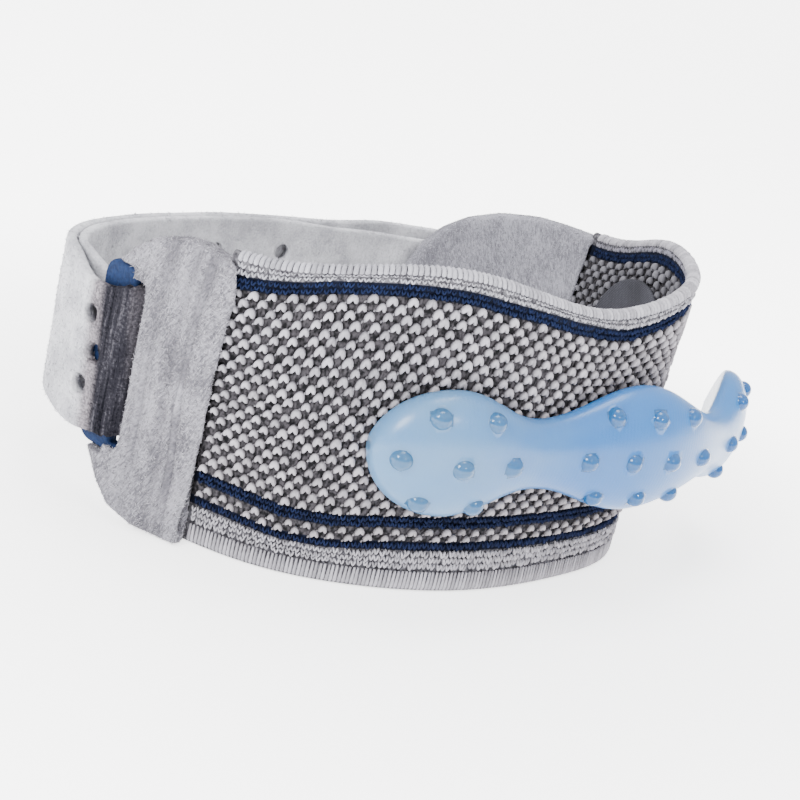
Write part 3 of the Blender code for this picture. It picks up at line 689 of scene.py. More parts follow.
# %% Tree for rows of stitches
def stitch_tree():
    """Geometry Nodes tree that lays rows of stitches on the flat cloth."""
    tree = bpy.data.node_groups.new("rows_of_stitches", "GeometryNodeTree")
    face = tree.interface
    face.new_socket("Geometry", in_out="INPUT", socket_type="NodeSocketGeometry")
    face.new_socket("Geometry", in_out="OUTPUT", socket_type="NodeSocketGeometry")
    kinds = {"Stitch": "Object", "Columns": "Int", "Rows": "Int", "First": "Float",
             "Pitch": "Float", "Low": "Float", "High": "Float", "Out": "Float",
             "Stagger": "Float", "Turn": "Float", "Size": "Float", "Tall": "Float",
             "Loose": "Float", "Seed": "Int", "Yarn": "Material"}
    for name, kind in kinds.items():
        face.new_socket(name, in_out="INPUT", socket_type="NodeSocket" + kind)
    given = tree.nodes.new("NodeGroupInput").outputs
    count = maths(tree, "MULTIPLY", given["Columns"], given["Rows"])
    line = add(tree, "GeometryNodeMeshLine", Count=count, Offset=(0.0, 0.0, 0.0))
    index = add(tree, "GeometryNodeInputIndex").outputs[0]
    number = maths(tree, "ADD", index, 0.5)
    row = maths(tree, "FLOOR", maths(tree, "DIVIDE", number, given["Columns"]))
    column = maths(tree, "SUBTRACT", index, maths(tree, "MULTIPLY", row, given["Columns"]))
    odd = maths(tree, "MULTIPLY", maths(tree, "MODULO", row, 2.0), given["Stagger"])
    s = maths(tree, "MULTIPLY_ADD", maths(tree, "ADD", column, odd), given["Pitch"], given["First"])
    gaps = maths(tree, "MAXIMUM", maths(tree, "SUBTRACT", given["Rows"], 1.0), 1.0)
    share = maths(tree, "DIVIDE", row, gaps)
    rise = maths(tree, "SUBTRACT", given["High"], given["Low"])
    z = maths(tree, "MULTIPLY_ADD", rise, share, given["Low"])
    out = maths(tree, "MULTIPLY", given["Out"], -1.0)
    jitter = add(tree, "FunctionNodeRandomValue", {"data_type": "FLOAT_VECTOR"},
                 i0=(-1.0, -1.0, -1.0), i1=(1.0, 1.0, 1.0), Seed=given["Seed"]).outputs[0]
    moved = add(tree, "ShaderNodeVectorMath", {"operation": "SCALE"}, i0=jitter,
                Scale=maths(tree, "MULTIPLY", given["Loose"], 0.0002)).outputs[0]
    flat = add(tree, "ShaderNodeCombineXYZ", i0=s, i1=out, i2=z).outputs[0]
    spot = add(tree, "ShaderNodeVectorMath", {"operation": "ADD"}, i0=flat, i1=moved).outputs[0]
    points = add(tree, "GeometryNodeSetPosition", Geometry=line.outputs[0], Position=spot)
    tilt = add(tree, "FunctionNodeRandomValue", {"data_type": "FLOAT"}, i2=-0.16, i3=0.16,
               Seed=maths(tree, "ADD", given["Seed"], 7)).outputs[1]
    tilt = maths(tree, "MULTIPLY", tilt, given["Loose"])
    turned = add(tree, "ShaderNodeCombineXYZ", i1=tilt, i2=given["Turn"]).outputs[0]
    grow = add(tree, "FunctionNodeRandomValue", {"data_type": "FLOAT"}, i2=-0.10, i3=0.10,
               Seed=maths(tree, "ADD", given["Seed"], 13)).outputs[1]
    size = maths(tree, "MULTIPLY", given["Size"],
                 maths(tree, "MULTIPLY_ADD", grow, given["Loose"], 1.0))
    scale = add(tree, "ShaderNodeCombineXYZ", i0=size, i1=size,
                i2=maths(tree, "MULTIPLY", size, given["Tall"])).outputs[0]
    source = add(tree, "GeometryNodeObjectInfo", Object=given["Stitch"])
    laid = add(tree, "GeometryNodeInstanceOnPoints", Points=points.outputs[0],
               Instance=source.outputs["Geometry"], Rotation=turned, Scale=scale)
    shade = add(tree, "FunctionNodeRandomValue", {"data_type": "FLOAT"}, i2=0.0, i3=1.0,
                Seed=maths(tree, "ADD", given["Seed"], 29)).outputs[1]
    shaded = add(tree, "GeometryNodeStoreNamedAttribute",
                 {"data_type": "FLOAT", "domain": "INSTANCE"}, Geometry=laid.outputs[0],
                 Name="shade", Value=shade)
    real = add(tree, "GeometryNodeRealizeInstances", Geometry=shaded.outputs[0])
    dyed = add(tree, "GeometryNodeSetMaterial", Geometry=real.outputs[0], Material=given["Yarn"])
    end = tree.nodes.new("NodeGroupOutput")
    tree.links.new(dyed.outputs[0], end.inputs[0])
    return tree


STITCH_ROWS = stitch_tree()


def set_inputs(modifier, values):
    """Set a tree's inputs by the identifiers of their sockets."""
    for item in modifier.node_group.interface.items_tree:
        if item.in_out == "INPUT" and item.name in values:
            modifier[item.identifier] = values[item.name]


def pull_up(thing, low, high, follow):
    """Let flat rows follow the top edge, by one share at the low row and one at the high."""
    flat = np.empty(3 * len(thing.data.vertices))
    thing.data.vertices.foreach_get("co", flat)
    flat = flat.reshape(-1, 3)
    share = np.clip((flat[:, 2] - low) / max(high - low, 0.0001), 0.0, 1.0)
    share = follow[0] + (follow[1] - follow[0]) * share
    flat[:, 2] += (top_edge(flat[:, 0]) - KNIT_HEIGHT) * share
    flat[:, 2] += pattern_rise(flat[:, 0], flat[:, 2])
    thing.data.vertices.foreach_set("co", flat.ravel())
    return thing


def stitch_rows(name, stitch, material, rows, first, pitch, low, high, follow=(0.0, 0.0),
                out=0.0, stagger=0.0, inside=False, size=1.0, tall=1.0, loose=1.0, seed=1):
    """Flat rows of stitches along the whole band."""
    columns = int((KNIT_LENGTH - 2 * first - stagger * pitch) / pitch) + (2 if stagger else 1)
    host = new_piece(name, bpy.data.meshes.new(name))
    change = host.modifiers.new("rows", "NODES")
    change.node_group = STITCH_ROWS
    set_inputs(change, {
        "Stitch": stitch, "Columns": columns, "Rows": rows, "First": first, "Pitch": pitch,
        "Low": low, "High": high, "Out": -KNIT_WALL - out if inside else out,
        "Stagger": stagger, "Turn": math.pi if inside else 0.0, "Size": size, "Tall": tall,
        "Loose": loose, "Seed": seed, "Yarn": material})
    return pull_up(plain(host), low, high, follow)


def join(name, things):
    """One mesh of several, with the materials of all."""
    shape = bmesh.new()
    materials = []
    for thing in things:
        start = len(shape.faces)
        shape.from_mesh(thing.data)
        shape.faces.ensure_lookup_table()
        slots = []
        for material in thing.data.materials:
            if material not in materials:
                materials.append(material)
            slots.append(materials.index(material))
        for face in shape.faces[start:]:
            face.material_index = slots[min(face.material_index, len(slots) - 1)]
    mesh = bpy.data.meshes.new(name)
    for material in materials:
        mesh.materials.append(material)
    shape.to_mesh(mesh)
    shape.free()
    for thing in things:
        bpy.data.objects.remove(thing)
    return new_piece(name, mesh)


print("tree inputs:", len(STITCH_ROWS.interface.items_tree) - 2)

# %% [markdown]
# Both faces of the band get nearly the same rows. From the floor up: three rows of V
# stitches over the hem, the thin navy stripe, two rows of loops, the wide navy stripe, the
# field of loops, the upper navy stripe, and V stitches under the top rim, two rows of them
# outside and one inside.

# %% Rows on both faces
LOOP_PITCH = 0.0034
V_PITCH = 0.00100
FACE_OUT = -0.00042


def face_rows(name, inside, seed):
    """Every row of one face of the band, bent round the knee."""
    top = KNIT_HEIGHT
    up = INNER_STRIPE_RISE if inside else 0.0
    grey = INNER_YARN if inside else GREY_YARN
    hem = INNER_HEM_YARN if inside else HEM_YARN
    parts = (
        # stitch, yarn, rows, first, pitch, low and high row, follow, out, stagger, size, tall
        (LOOP_STITCH, grey, 25, 0.0011, LOOP_PITCH, 0.0153, top - 0.0075 + up, (0, 1),
         0.0, 0.5, 1.0, 1.0),
        (LOOP_STITCH, grey, 2, 0.0011, LOOP_PITCH, 0.0098, 0.0111, (0, 0), 0.0, 0.5, 0.86, 1.0),
        (V_STITCH, NAVY_YARN, 2, 0.0008, V_PITCH, top - 0.0061 + up, top - 0.0050 + up, (1, 1),
         0.0, 0.0, 1.0, 1.0),
        (V_STITCH, NAVY_YARN, 2, 0.0008, V_PITCH, 0.0126, 0.0137, (0, 0), 0.0, 0.0, 1.0, 1.0),
        (V_STITCH, NAVY_YARN, 1, 0.0008, V_PITCH, 0.0082, 0.0082, (0, 0), 0.0, 0.0, 1.0, 1.2),
        (V_STITCH, hem, 1 if inside else 2, 0.0008, V_PITCH, top - 0.0036 + up, top - 0.0022,
         (1, 1), 0.0003, 0.0, 1.0, 1.05),
        (V_STITCH, hem, 3, 0.0008, V_PITCH, 0.0048, 0.0068, (0, 0), 0.0002, 0.0, 1.0, 1.0),
    )
    rows = []
    for i, (stitch, material, count, first, pitch, low, high, follow, out, stagger, size,
            tall) in enumerate(parts):
        rows.append(stitch_rows("row", stitch, material, count, first, pitch, low, high, follow,
                                FACE_OUT + out, stagger, inside, size, tall, seed=seed + i))
    return bend(smooth(join(name, rows)))


outer_stitches = face_rows("knit_band_outer_stitches", False, 10)
inner_stitches = face_rows("knit_band_inner_stitches", True, 40)
print("stitches:", triangles(outer_stitches), "outside and", triangles(inner_stitches), "inside")

# %% [markdown]
# The rims are covered by ribs that run over the edge from one face to the other. The top
# ones are short and fat, and the ones on the lower hem are long and thin.

# %% Rim ribs
def rib_source(name, reach, radius, thick, steps=8):
    """Bent rib over a rim at height 0, from the outer face to the inner face."""
    path = [(radius, -reach)]
    path += [(radius * math.cos(t), radius * (math.sin(t) - 1))
             for t in np.linspace(0, math.pi, steps)]
    path += [(-radius, -reach)]
    shape = bmesh.new()
    rings = []
    for i, (out, z) in enumerate(path):
        before, after = path[max(i - 1, 0)], path[min(i + 1, len(path) - 1)]
        run = Vector((after[0] - before[0], after[1] - before[1])).normalized()
        side = Vector((run.y, -run.x)) * -1.0
        ring = []
        narrow = 0.55 if i in (0, len(path) - 1) else 1.0
        for t in np.linspace(0, 2 * math.pi, 6, endpoint=False):
            push = thick * 0.55 * math.cos(t) * narrow
            ring.append(shape.verts.new((thick / 2 * math.sin(t) * narrow,
                                         -(out + side.x * push), z + side.y * push)))
        rings.append(ring)
    for one, two in zip(rings, rings[1:]):
        for i in range(6):
            j = (i + 1) % 6
            shape.faces.new((one[i], one[j], two[j], two[i]))
    shape.faces.new(rings[0])
    shape.faces.new(rings[-1])
    bmesh.ops.recalc_face_normals(shape, faces=shape.faces)
    return smooth(hidden_source(name, shape))


LOW_RIB_PITCH = 0.00080
TOP_RIB = rib_source("top_rib", 0.0013, HEM_RADIUS - 0.0001, 0.95 * V_PITCH)
LOW_RIB = rib_source("low_rib", 0.0036, HEM_RADIUS - 0.0001, 0.98 * LOW_RIB_PITCH)
for corner in LOW_RIB.data.vertices:
    corner.co.z = -corner.co.z
LOW_RIB.data.flip_normals()
rim_parts = [
    stitch_rows("top", TOP_RIB, HEM_YARN, 1, 0.0008, V_PITCH, KNIT_HEIGHT - 0.0001,
                KNIT_HEIGHT - 0.0001, (1, 1), -KNIT_WALL / 2, loose=0.3, seed=3),
    stitch_rows("low", LOW_RIB, HEM_YARN, 1, 0.0006, LOW_RIB_PITCH, 0.0004, 0.0004, (0, 0),
                -KNIT_WALL / 2, loose=0.12, seed=4),
]
rim_ribs = bend(smooth(join("knit_band_rim_ribs", rim_parts)))
print("rim ribs:", triangles(rim_ribs), "triangles")

# %% [markdown]
# ## Felt
# The tabs are foam between two layers of brushed felt, and the strap is the same felt
# without the foam. Felt has no weave: it is a mat of short fibres with soft clouds of
# lighter and darker grey. The material gives the mat and the clouds, and real fibres on
# the surface give the fuzzy rim.

# %% Felt materials
def felt(name, light, dark, clouds=160.0):
    """Brushed felt with soft clouds, a fine mat of fibres and painted shade along the creases."""
    material, tree, shader = start_material(name, 0.95)
    where, (along, out, height) = flat_place(tree)
    cloud = noise(tree, stretched(tree, where, (1.0, 1.0, 0.6)), clouds, 4.0, 0.6)
    mat = noise(tree, where, 2400.0, 3.0, 0.6)
    streak = noise(tree, combed(tree, where, 0.45, 5.0), 4200.0, 2.0, 0.6, 0.5)
    both = maths(tree, "ADD", maths(tree, "MULTIPLY", cloud, 0.35),
                 maths(tree, "ADD", maths(tree, "MULTIPLY", mat, 0.20),
                       maths(tree, "MULTIPLY", streak, 0.45)))
    colour = ramp(tree, both, ((0.40, dark), (0.60, light)))
    crease = add(tree, "ShaderNodeAttribute", {"attribute_name": "crease"}).outputs["Fac"]
    # Painted shade: along the creases the colour goes toward the dark felt.
    colour = mix(tree, maths(tree, "MULTIPLY", crease, 0.8), colour, dark)
    tree.links.new(colour, shader.inputs["Base Color"])
    shader.inputs["Sheen Weight"].default_value = 0.04
    shader.inputs["Sheen Roughness"].default_value = 0.6
    shader.inputs["Specular IOR Level"].default_value = 0.05
    relief = maths(tree, "ADD", maths(tree, "MULTIPLY", mat, 0.5),
                   maths(tree, "MULTIPLY", streak, 0.5))
    bump(tree, shader, relief, 0.00045, 0.8)
    return material


def fibre_material(name, light, dark):
    """Loose fibres of the felt, each with its own tone, and painted shade along the creases."""
    material, tree, shader = start_material(name, 0.8)
    where, parts = flat_place(tree)
    colour = ramp(tree, noise(tree, where, 5200.0, 1.0), ((0.36, dark), (0.62, light)))
    crease = add(tree, "ShaderNodeAttribute", {"attribute_name": "crease"}).outputs["Fac"]
    # Painted shade along the creases.
    colour = mix(tree, maths(tree, "MULTIPLY", crease, 0.9), colour, dark)
    tree.links.new(colour, shader.inputs["Base Color"])
    shader.inputs["Specular IOR Level"].default_value = 0.15
    return material


TAB_FELT = felt("tab_felt", (0.235, 0.230, 0.258), (0.075, 0.072, 0.085))
TAB_FIBRE = fibre_material("tab_fibre", (0.50, 0.49, 0.53), (0.095, 0.092, 0.105))
# The far tab is the same felt as the near tab; this copy is painted lighter, as painted light for
# the light it misses.
FAR_FELT_PAINTED_LIGHTER = felt("far_tab_felt", (0.270, 0.268, 0.305), (0.120, 0.118, 0.138))
FAR_FIBRE_PAINTED_LIGHTER = fibre_material("far_tab_fibre", (0.42, 0.415, 0.46), (0.15, 0.147, 0.17))
print("felts are ready")

# %% [markdown]
# ## Tabs
# Each tab starts as a copy of its CAD solid. A voxel remesh gives it even small faces, and
# smoothing turns the plate into a soft pad with round rims. Then its points move a little
# along their normals: broad soft dents all over, and on the near tab a few creases that
# run down beside the seam. Where a normal points up or down nothing moves, so the top and
# bottom rims stay even.

# %% Soft tabs
def unbend(points):
    """Flat (s, out, z) of bent points: the nearest place on the curve, then the lean."""
    flat = points + origin
    s = np.empty(len(flat))
    out = np.empty(len(flat))
    for i in range(0, len(flat), 4000):
        part = flat[i:i + 4000]
        gap = part[:, None, :2] - CURVE[None]
        near = (gap ** 2).sum(axis=2).argmin(axis=1)
        left = gap[np.arange(len(part)), near]
        run = left[:, 1] * OUTWARD[near, 0] - left[:, 0] * OUTWARD[near, 1]
        s[i:i + 4000] = ALONG[near] + run
        out[i:i + 4000] = (left * OUTWARD[near]).sum(axis=1)
    out += lean(s % GIRTH) * (1.0 - flat[:, 2] / KNIT_HEIGHT)
    return s, out, flat[:, 2]


def soft_copy(name, node, voxel, passes):
    """Copy of a CAD node with even small faces and soft rims."""
    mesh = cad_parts[node].data.copy()
    shape = bmesh.new()
    shape.from_mesh(mesh)
    bmesh.ops.remove_doubles(shape, verts=shape.verts, dist=0.00001)
    shape.to_mesh(mesh)
    shape.free()
    mesh.materials.clear()
    thing = new_piece(name, mesh)
    for key in list(thing.keys()):
        del thing[key]
    even = thing.modifiers.new("even", "REMESH")
    even.mode = "VOXEL"
    even.voxel_size = voxel
    soften = thing.modifiers.new("soften", "SMOOTH")
    soften.factor = 0.5
    soften.iterations = passes
    return smooth(plain(thing))


def waves(points, seed, count, longest, shortest):
    """Smooth random waves at some points, about -1 to 1."""
    dice = np.random.default_rng(seed)
    total = np.zeros(len(points))
    for _ in range(count):
        way = dice.normal(size=3)
        way *= 2 * math.pi / (np.linalg.norm(way) * dice.uniform(shortest, longest))
        total += np.sin(points @ way + dice.uniform(0, 2 * math.pi))
    return total / math.sqrt(count)


def get_points(mesh):
    """Places and normals of a mesh as arrays."""
    places = np.empty(3 * len(mesh.vertices))
    mesh.vertices.foreach_get("co", places)
    normals = np.array([v.normal for v in mesh.vertices])
    return places.reshape(-1, 3), normals


def keep_flat(mesh, s, out, z):
    """Keep the flat places as attributes."""
    for name, values in (("along", s), ("out", out), ("height", z)):
        kept = mesh.attributes.new(name, "FLOAT", "POINT")
        kept.data.foreach_set("value", np.asarray(values, np.float32))


SEAM_HEIGHTS = (0.0, 0.0070, 0.0174, 0.0296, 0.0407, 0.0485, 0.0560)
SEAM_OVER_KNIT = (0.0001, 0.0001, 0.0003, 0.0007, 0.0012, 0.0023, 0.0016)
LIP_ABOVE = 0.0004
FOOT_HEIGHT = 0.0170
FOOT_FLARE = 0.0030
CORNER_DROP = 0.0016
CREASES = (
    # distance before the seam, depth, half width
    (0.0036, 0.00100, 0.0009), (0.0062, 0.00070, 0.0009), (0.0112, 0.00060, 0.0015),
)
CREASE_BOW = 0.0022
BULGES = (
    # distance before the seam, height, half width
    (0.0014, 0.00030, 0.0010), (0.0082, 0.00030, 0.0014),
)
DENT = 0.00012


def seam_shape(places, s, out, z):
    """Sewn edge of the near tab: a lip over the knit, a flared foot and creases beside it."""
    before = np.where(s > GIRTH / 2, GIRTH - s, -s)
    lip = np.interp(z, SEAM_HEIGHTS, SEAM_OVER_KNIT) * ease(LIP_ABOVE, 0.0009, out)
    lip *= 1.0 - ease(0.0, 0.0060, before)
    foot = FOOT_FLARE * (1.0 - ease(0.0, FOOT_HEIGHT, z)) * (1.0 - ease(0.0120, 0.0260, before))
    drop = CORNER_DROP * ease(0.045, 0.058, z) * (1.0 - ease(0.0, 0.0070, before))
    return places + place(s + lip, out + foot, z - drop) - place(s, out, z)


def felt_tab(name, node, material, seed, seam=False):
    """Padded felt tab with soft dents."""
    tab = soft_copy(name, node, 0.0005, 5)
    places, normals = get_points(tab.data)
    s, out, z = unbend(places)
    push = DENT * waves(places, seed, 14, 0.030, 0.012)
    crease = np.zeros(len(places))
    if seam:
        places = seam_shape(places, s, out, z)
        before = np.where(s > GIRTH / 2, GIRTH - s, 0.0)
        bow = before - CREASE_BOW * np.sin(np.pi * z / KNIT_HEIGHT)
        for at, deep, wide in CREASES:
            fold = np.exp(-((bow - at) / wide) ** 2)
            push -= deep * fold
            uneven = 0.6 + 0.4 * waves(places, seed + 3, 8, 0.02, 0.006)
            crease += fold * deep / CREASES[0][1] * uneven
        for at, high, wide in BULGES:
            push += high * np.exp(-((bow - at) / wide) ** 2)
    push *= 1.0 - np.abs(normals[:, 2])
    places += normals * push[:, None]
    tab.data.vertices.foreach_set("co", places.ravel())
    tab.data.update()
    keep_flat(tab.data, s, out, z)
    # How deep each crease is, kept for the felt, which paints shade along the creases.
    kept = tab.data.attributes.new("crease", "FLOAT", "POINT")
    kept.data.foreach_set("value", np.clip(crease, 0.0, 1.0).astype(np.float32))
    tab.data.materials.append(material)
    return tab


near_tab = felt_tab("near_tab_felt", "near_tab", TAB_FELT, 5, True)
far_tab = felt_tab("far_tab_felt", "far_tab", FAR_FELT_PAINTED_LIGHTER, 6)
print("tabs:", triangles(near_tab), "and", triangles(far_tab), "triangles")

# %% [markdown]
# ## Fibres
# Fine short fibres stand in the surface of the felt and lie nearly flat, each its own way,
# so they roughen the face but hardly leave its rims. Geometry Nodes scatter points on the
# faces with a fixed seed, turn a thin curved spike along the normal, tip it over, and vary
# its length.

# %% Fibre tree
FIBRE_RADIUS = 0.00005


def fibre_source():
    """One thin curved fibre, 1 mm long, with three sides."""
    shape = bmesh.new()
    rings = []
    for share in (0.0, 0.5):
        ring = [shape.verts.new((FIBRE_RADIUS * math.cos(t),
                                 FIBRE_RADIUS * math.sin(t) + 0.00025 * share ** 2,
                                 0.001 * share)) for t in (0.0, 2.1, 4.2)]
        rings.append(ring)
    tip = shape.verts.new((0.0, 0.00025, 0.001))
    for i in range(3):
        j = (i + 1) % 3
        shape.faces.new((rings[0][i], rings[0][j], rings[1][j], rings[1][i]))
        shape.faces.new((rings[1][i], rings[1][j], tip))
    shape.faces.new(list(reversed(rings[0])))
    return hidden_source("fibre", shape)


def fibre_tree():
    """Geometry Nodes tree that scatters fibres on a surface."""
    tree = bpy.data.node_groups.new("felt_fibres", "GeometryNodeTree")
    face = tree.interface
    face.new_socket("Geometry", in_out="INPUT", socket_type="NodeSocketGeometry")
    face.new_socket("Geometry", in_out="OUTPUT", socket_type="NodeSocketGeometry")
    for name, kind in {"Fibre": "Object", "Density": "Float", "Shortest": "Float",
                       "Longest": "Float", "Tip Over": "Float", "Seed": "Int",
                       "Material": "Material"}.items():
        face.new_socket(name, in_out="INPUT", socket_type="NodeSocket" + kind)
    given = tree.nodes.new("NodeGroupInput").outputs
    spots = add(tree, "GeometryNodeDistributePointsOnFaces", Mesh=given["Geometry"],
                Density=given["Density"], Seed=given["Seed"])
    dice = add(tree, "FunctionNodeRandomValue", {"data_type": "FLOAT"}, i2=0.0, i3=2 * math.pi,
               Seed=maths(tree, "ADD", given["Seed"], 3)).outputs[1]
    spin = add(tree, "ShaderNodeCombineXYZ", i0=given["Tip Over"], i2=dice).outputs[0]
    turned = add(tree, "FunctionNodeRotateRotation", {"rotation_space": "LOCAL"},
                 i0=spots.outputs["Rotation"], i1=spin)
    length = add(tree, "FunctionNodeRandomValue", {"data_type": "FLOAT"}, i2=given["Shortest"],
                 i3=given["Longest"], Seed=maths(tree, "ADD", given["Seed"], 5)).outputs[1]
    source = add(tree, "GeometryNodeObjectInfo", Object=given["Fibre"])
    scale = add(tree, "ShaderNodeCombineXYZ", i0=1.0, i1=length, i2=length).outputs[0]
    laid = add(tree, "GeometryNodeInstanceOnPoints", Points=spots.outputs["Points"],
               Instance=source.outputs["Geometry"], Rotation=turned.outputs[0], Scale=scale)
    real = add(tree, "GeometryNodeRealizeInstances", Geometry=laid.outputs[0])
    dyed = add(tree, "GeometryNodeSetMaterial", Geometry=real.outputs[0],
               Material=given["Material"])
    end = tree.nodes.new("NodeGroupOutput")
    tree.links.new(dyed.outputs[0], end.inputs[0])
    return tree


FIBRE = fibre_source()
FIBRES = fibre_tree()


def fibres_on(name, surface, material, density, shortest, longest, tip_over, seed):
    """Fibres over a piece, as a piece of their own."""
    host = new_piece(name, surface.data.copy())
    change = host.modifiers.new("fibres", "NODES")
    change.node_group = FIBRES
    set_inputs(change, {"Fibre": FIBRE, "Density": density, "Shortest": shortest,
                        "Longest": longest, "Tip Over": tip_over, "Seed": seed,
                        "Material": material})
    return smooth(plain(host))


near_fibres = fibres_on("near_tab_fibres", near_tab, TAB_FIBRE, 3.8e6, 0.35, 0.8, 1.42, 21)
far_fibres = fibres_on("far_tab_fibres", far_tab, FAR_FIBRE_PAINTED_LIGHTER, 2.2e6, 0.35, 0.75, 1.42, 22)
print("fibres:", triangles(near_fibres), "and", triangles(far_fibres), "triangles")

# %% [markdown]
# ## Strap
# One strip of felt is sewn on the far tab, runs round the back, goes out through the ring
# beside the near tab, and comes back over itself. It is laid out as one path: first the
# inner layer, then half a turn round the bar of the ring, then the outer layer.

# %% Strap path
STRAP_WIDTH = 0.0316
STRAP_THICKNESS = 0.0020
STRAP_MIDDLE = 0.0300
STRAP_SEWN = 0.0260
STRAP_PINCH = 0.0026
STRAP_LIFT = 0.0018
STRAP_LIFT_PAST_FOLD = 0.0060
STRAP_DIP = 0.0022
STRAP_DIP_LENGTH = 0.0400
STRAP_EASE = 0.0120
STRAP_EASE_OFF_TAB = 0.0240
FREE_END_COVER = 0.0180
CLEARANCE = 0.0003
TAB_THICKNESS = 0.0045
FAR_TAB_REACH = 0.0470
PATCH_LENGTH = 0.0220
PATCH_THICKNESS = 0.0009
RING_THICKNESS = 0.0026
RING_TAB_BAR = 0.0025
RING_STRAP_BAR = 0.0086
RING_IN_TAB = 0.0029
RING_FROM_SEAM = 0.0133
TAB_END = KNIT_LENGTH + FAR_TAB_REACH
FREE_END = TAB_END - FREE_END_COVER
RING_SLIT = STRAP_THICKNESS + 2 * CLEARANCE + RING_IN_TAB - RING_TAB_BAR
RING_START = GIRTH - RING_FROM_SEAM - RING_TAB_BAR - RING_SLIT - RING_STRAP_BAR
FOLD = RING_START + RING_STRAP_BAR - RING_THICKNESS / 2
MIDDLE = -KNIT_WALL / 2


def inner_path(s):
    """Offset of the inner layer of the strap."""
    half = STRAP_THICKNESS / 2
    tab_seat = MIDDLE + TAB_THICKNESS / 2 + CLEARANCE + half
    back_seat = MIDDLE - CLEARANCE / 2 - half
    ring_seat = MIDDLE - RING_THICKNESS / 2 - CLEARANCE - half
    off_tab = ease(TAB_END, TAB_END + STRAP_EASE_OFF_TAB, s)
    to_ring = ease(RING_START - STRAP_EASE, RING_START, s)
    return tab_seat + (back_seat - tab_seat) * off_tab + (ring_seat - back_seat) * to_ring


def outer_path(s):
    """Offset of the outer layer of the strap."""
    patch = (PATCH_THICKNESS + CLEARANCE) * (1 - ease(FREE_END + PATCH_LENGTH,
                                                      FREE_END + PATCH_LENGTH + STRAP_EASE, s))
    lift = (RING_THICKNESS + CLEARANCE) * ease(RING_START - STRAP_EASE, RING_START, s)
    return inner_path(s) + STRAP_THICKNESS + CLEARANCE + patch + lift


print("strap folds", round(1000 * (GIRTH - FOLD), 1), "mm before the seam")

# %% [markdown]
# The holes are punched through the flat strap with round cutters, which is how the real
# ones are made. A rounded section keeps the cut edges of the felt soft. Where the strap
# dives into the ring it is gathered, so its face has ridges that run down, and shade is
# painted on it there: a plum half shade, then near black.

# %% Strap
HOLE_RADIUS = 0.0019
HOLE_ROW_PITCH_BY_FOLD = 0.0070
HOLE_ROW_PITCH = 0.0082
HOLES_FROM_FOLD = 0.0066
HOLE_STAGGER = 0.0022
HOLE_COLUMNS_FROM_TAB = (0.0344, 0.0528)
CUTTER_DEPTH = 0.0024


def into_ring(s):
    """Smooth share from 0 at the start of the ring to 1 a little past the fold."""
    return float(ease(RING_START, FOLD + STRAP_LIFT_PAST_FOLD, s))


def strap_ring(s, out, turn, shift):
    """Rounded section of the strap across its path."""
    half = STRAP_THICKNESS / 2
    low = STRAP_MIDDLE - STRAP_WIDTH / 2 + shift + STRAP_LIFT * into_ring(s)
    pinch = STRAP_PINCH * float(ease(RING_START - STRAP_EASE, RING_START, s)) * (1 - into_ring(s))
    high = STRAP_MIDDLE + STRAP_WIDTH / 2 + shift - pinch
    round_by = 0.0007
    outline = []
    for sign, edge in ((1, high), (-1, low)):
        for t in (0, 30, 60, 90) if sign > 0 else (90, 60, 30, 0):
            t = math.radians(t)
            outline.append((half - round_by * (1 - math.cos(t)),
                            edge - sign * round_by * (1 - math.sin(t))))
    rows = np.linspace(high - round_by, low + round_by, 30)[1:-1]
    high_part = outline[:4]
    low_part = outline[4:]
    ring = ([(-d, z) for d, z in high_part] + [(d, z) for d, z in reversed(high_part)]
            + [(half, z) for z in rows] + [(d, z) for d, z in reversed(low_part)]
            + [(-d, z) for d, z in low_part] + [(-half, z) for z in reversed(rows)])
    return [(s + d * math.sin(turn), out + d * math.cos(turn), z) for d, z in ring]


def strap_rings():
    """Sections of the whole strap, from its sewn end to its free end."""
    rings = []
    for s in spread(TAB_END - STRAP_SEWN, FOLD, 0.0018):
        dip = STRAP_DIP * (1 - float(ease(TAB_END, TAB_END + STRAP_DIP_LENGTH, s)))
        rings.append(strap_ring(s, float(inner_path(s)), 0.0, -dip))
    radius = float(outer_path(FOLD) - inner_path(FOLD)) / 2
    for i in range(1, 16):
        turn = math.pi * i / 16
        rings.append(strap_ring(FOLD + radius * math.sin(turn),
                                MIDDLE - radius * math.cos(turn), -turn, 0.0))
    for s in spread(FREE_END, FOLD, 0.0018)[::-1]:
        rings.append(strap_ring(s, float(outer_path(s)), -math.pi, 0.0))
    return rings


def hole_places():
    """Distance, offset and height of every hole."""
    places = []
    for row in (-1, 0, 1):
        s = FOLD - HOLES_FROM_FOLD + HOLE_STAGGER * (1 - abs(row))
        places.append((s, float(outer_path(s)), STRAP_MIDDLE + row * HOLE_ROW_PITCH_BY_FOLD))
        for from_tab in HOLE_COLUMNS_FROM_TAB:
            s = TAB_END + from_tab + HOLE_STAGGER * (1 - abs(row))
            places.append((s, float(inner_path(s)), STRAP_MIDDLE + row * HOLE_ROW_PITCH))
    return places


def cut_with(thing, cutters):
    """Cut a row of cutters from a piece."""
    for cutter in cutters:
        change = thing.modifiers.new("hole", "BOOLEAN")
        change.operation = "DIFFERENCE"
        change.solver = "EXACT"
        change.object = cutter
    result = plain(thing)
    for cutter in cutters:
        bpy.data.objects.remove(cutter)
    return result


cutters = []
for s, out, z in hole_places():
    bpy.ops.mesh.primitive_cylinder_add(vertices=24, radius=HOLE_RADIUS, depth=CUTTER_DEPTH,
                                        location=(s, -out, z), rotation=(math.pi / 2, 0, 0))
    cutters.append(bpy.context.active_object)
strap = cut_with(loft("closure_strap_felt", strap_rings()), cutters)
print("strap:", triangles(strap), "triangles and", len(hole_places()), "holes")


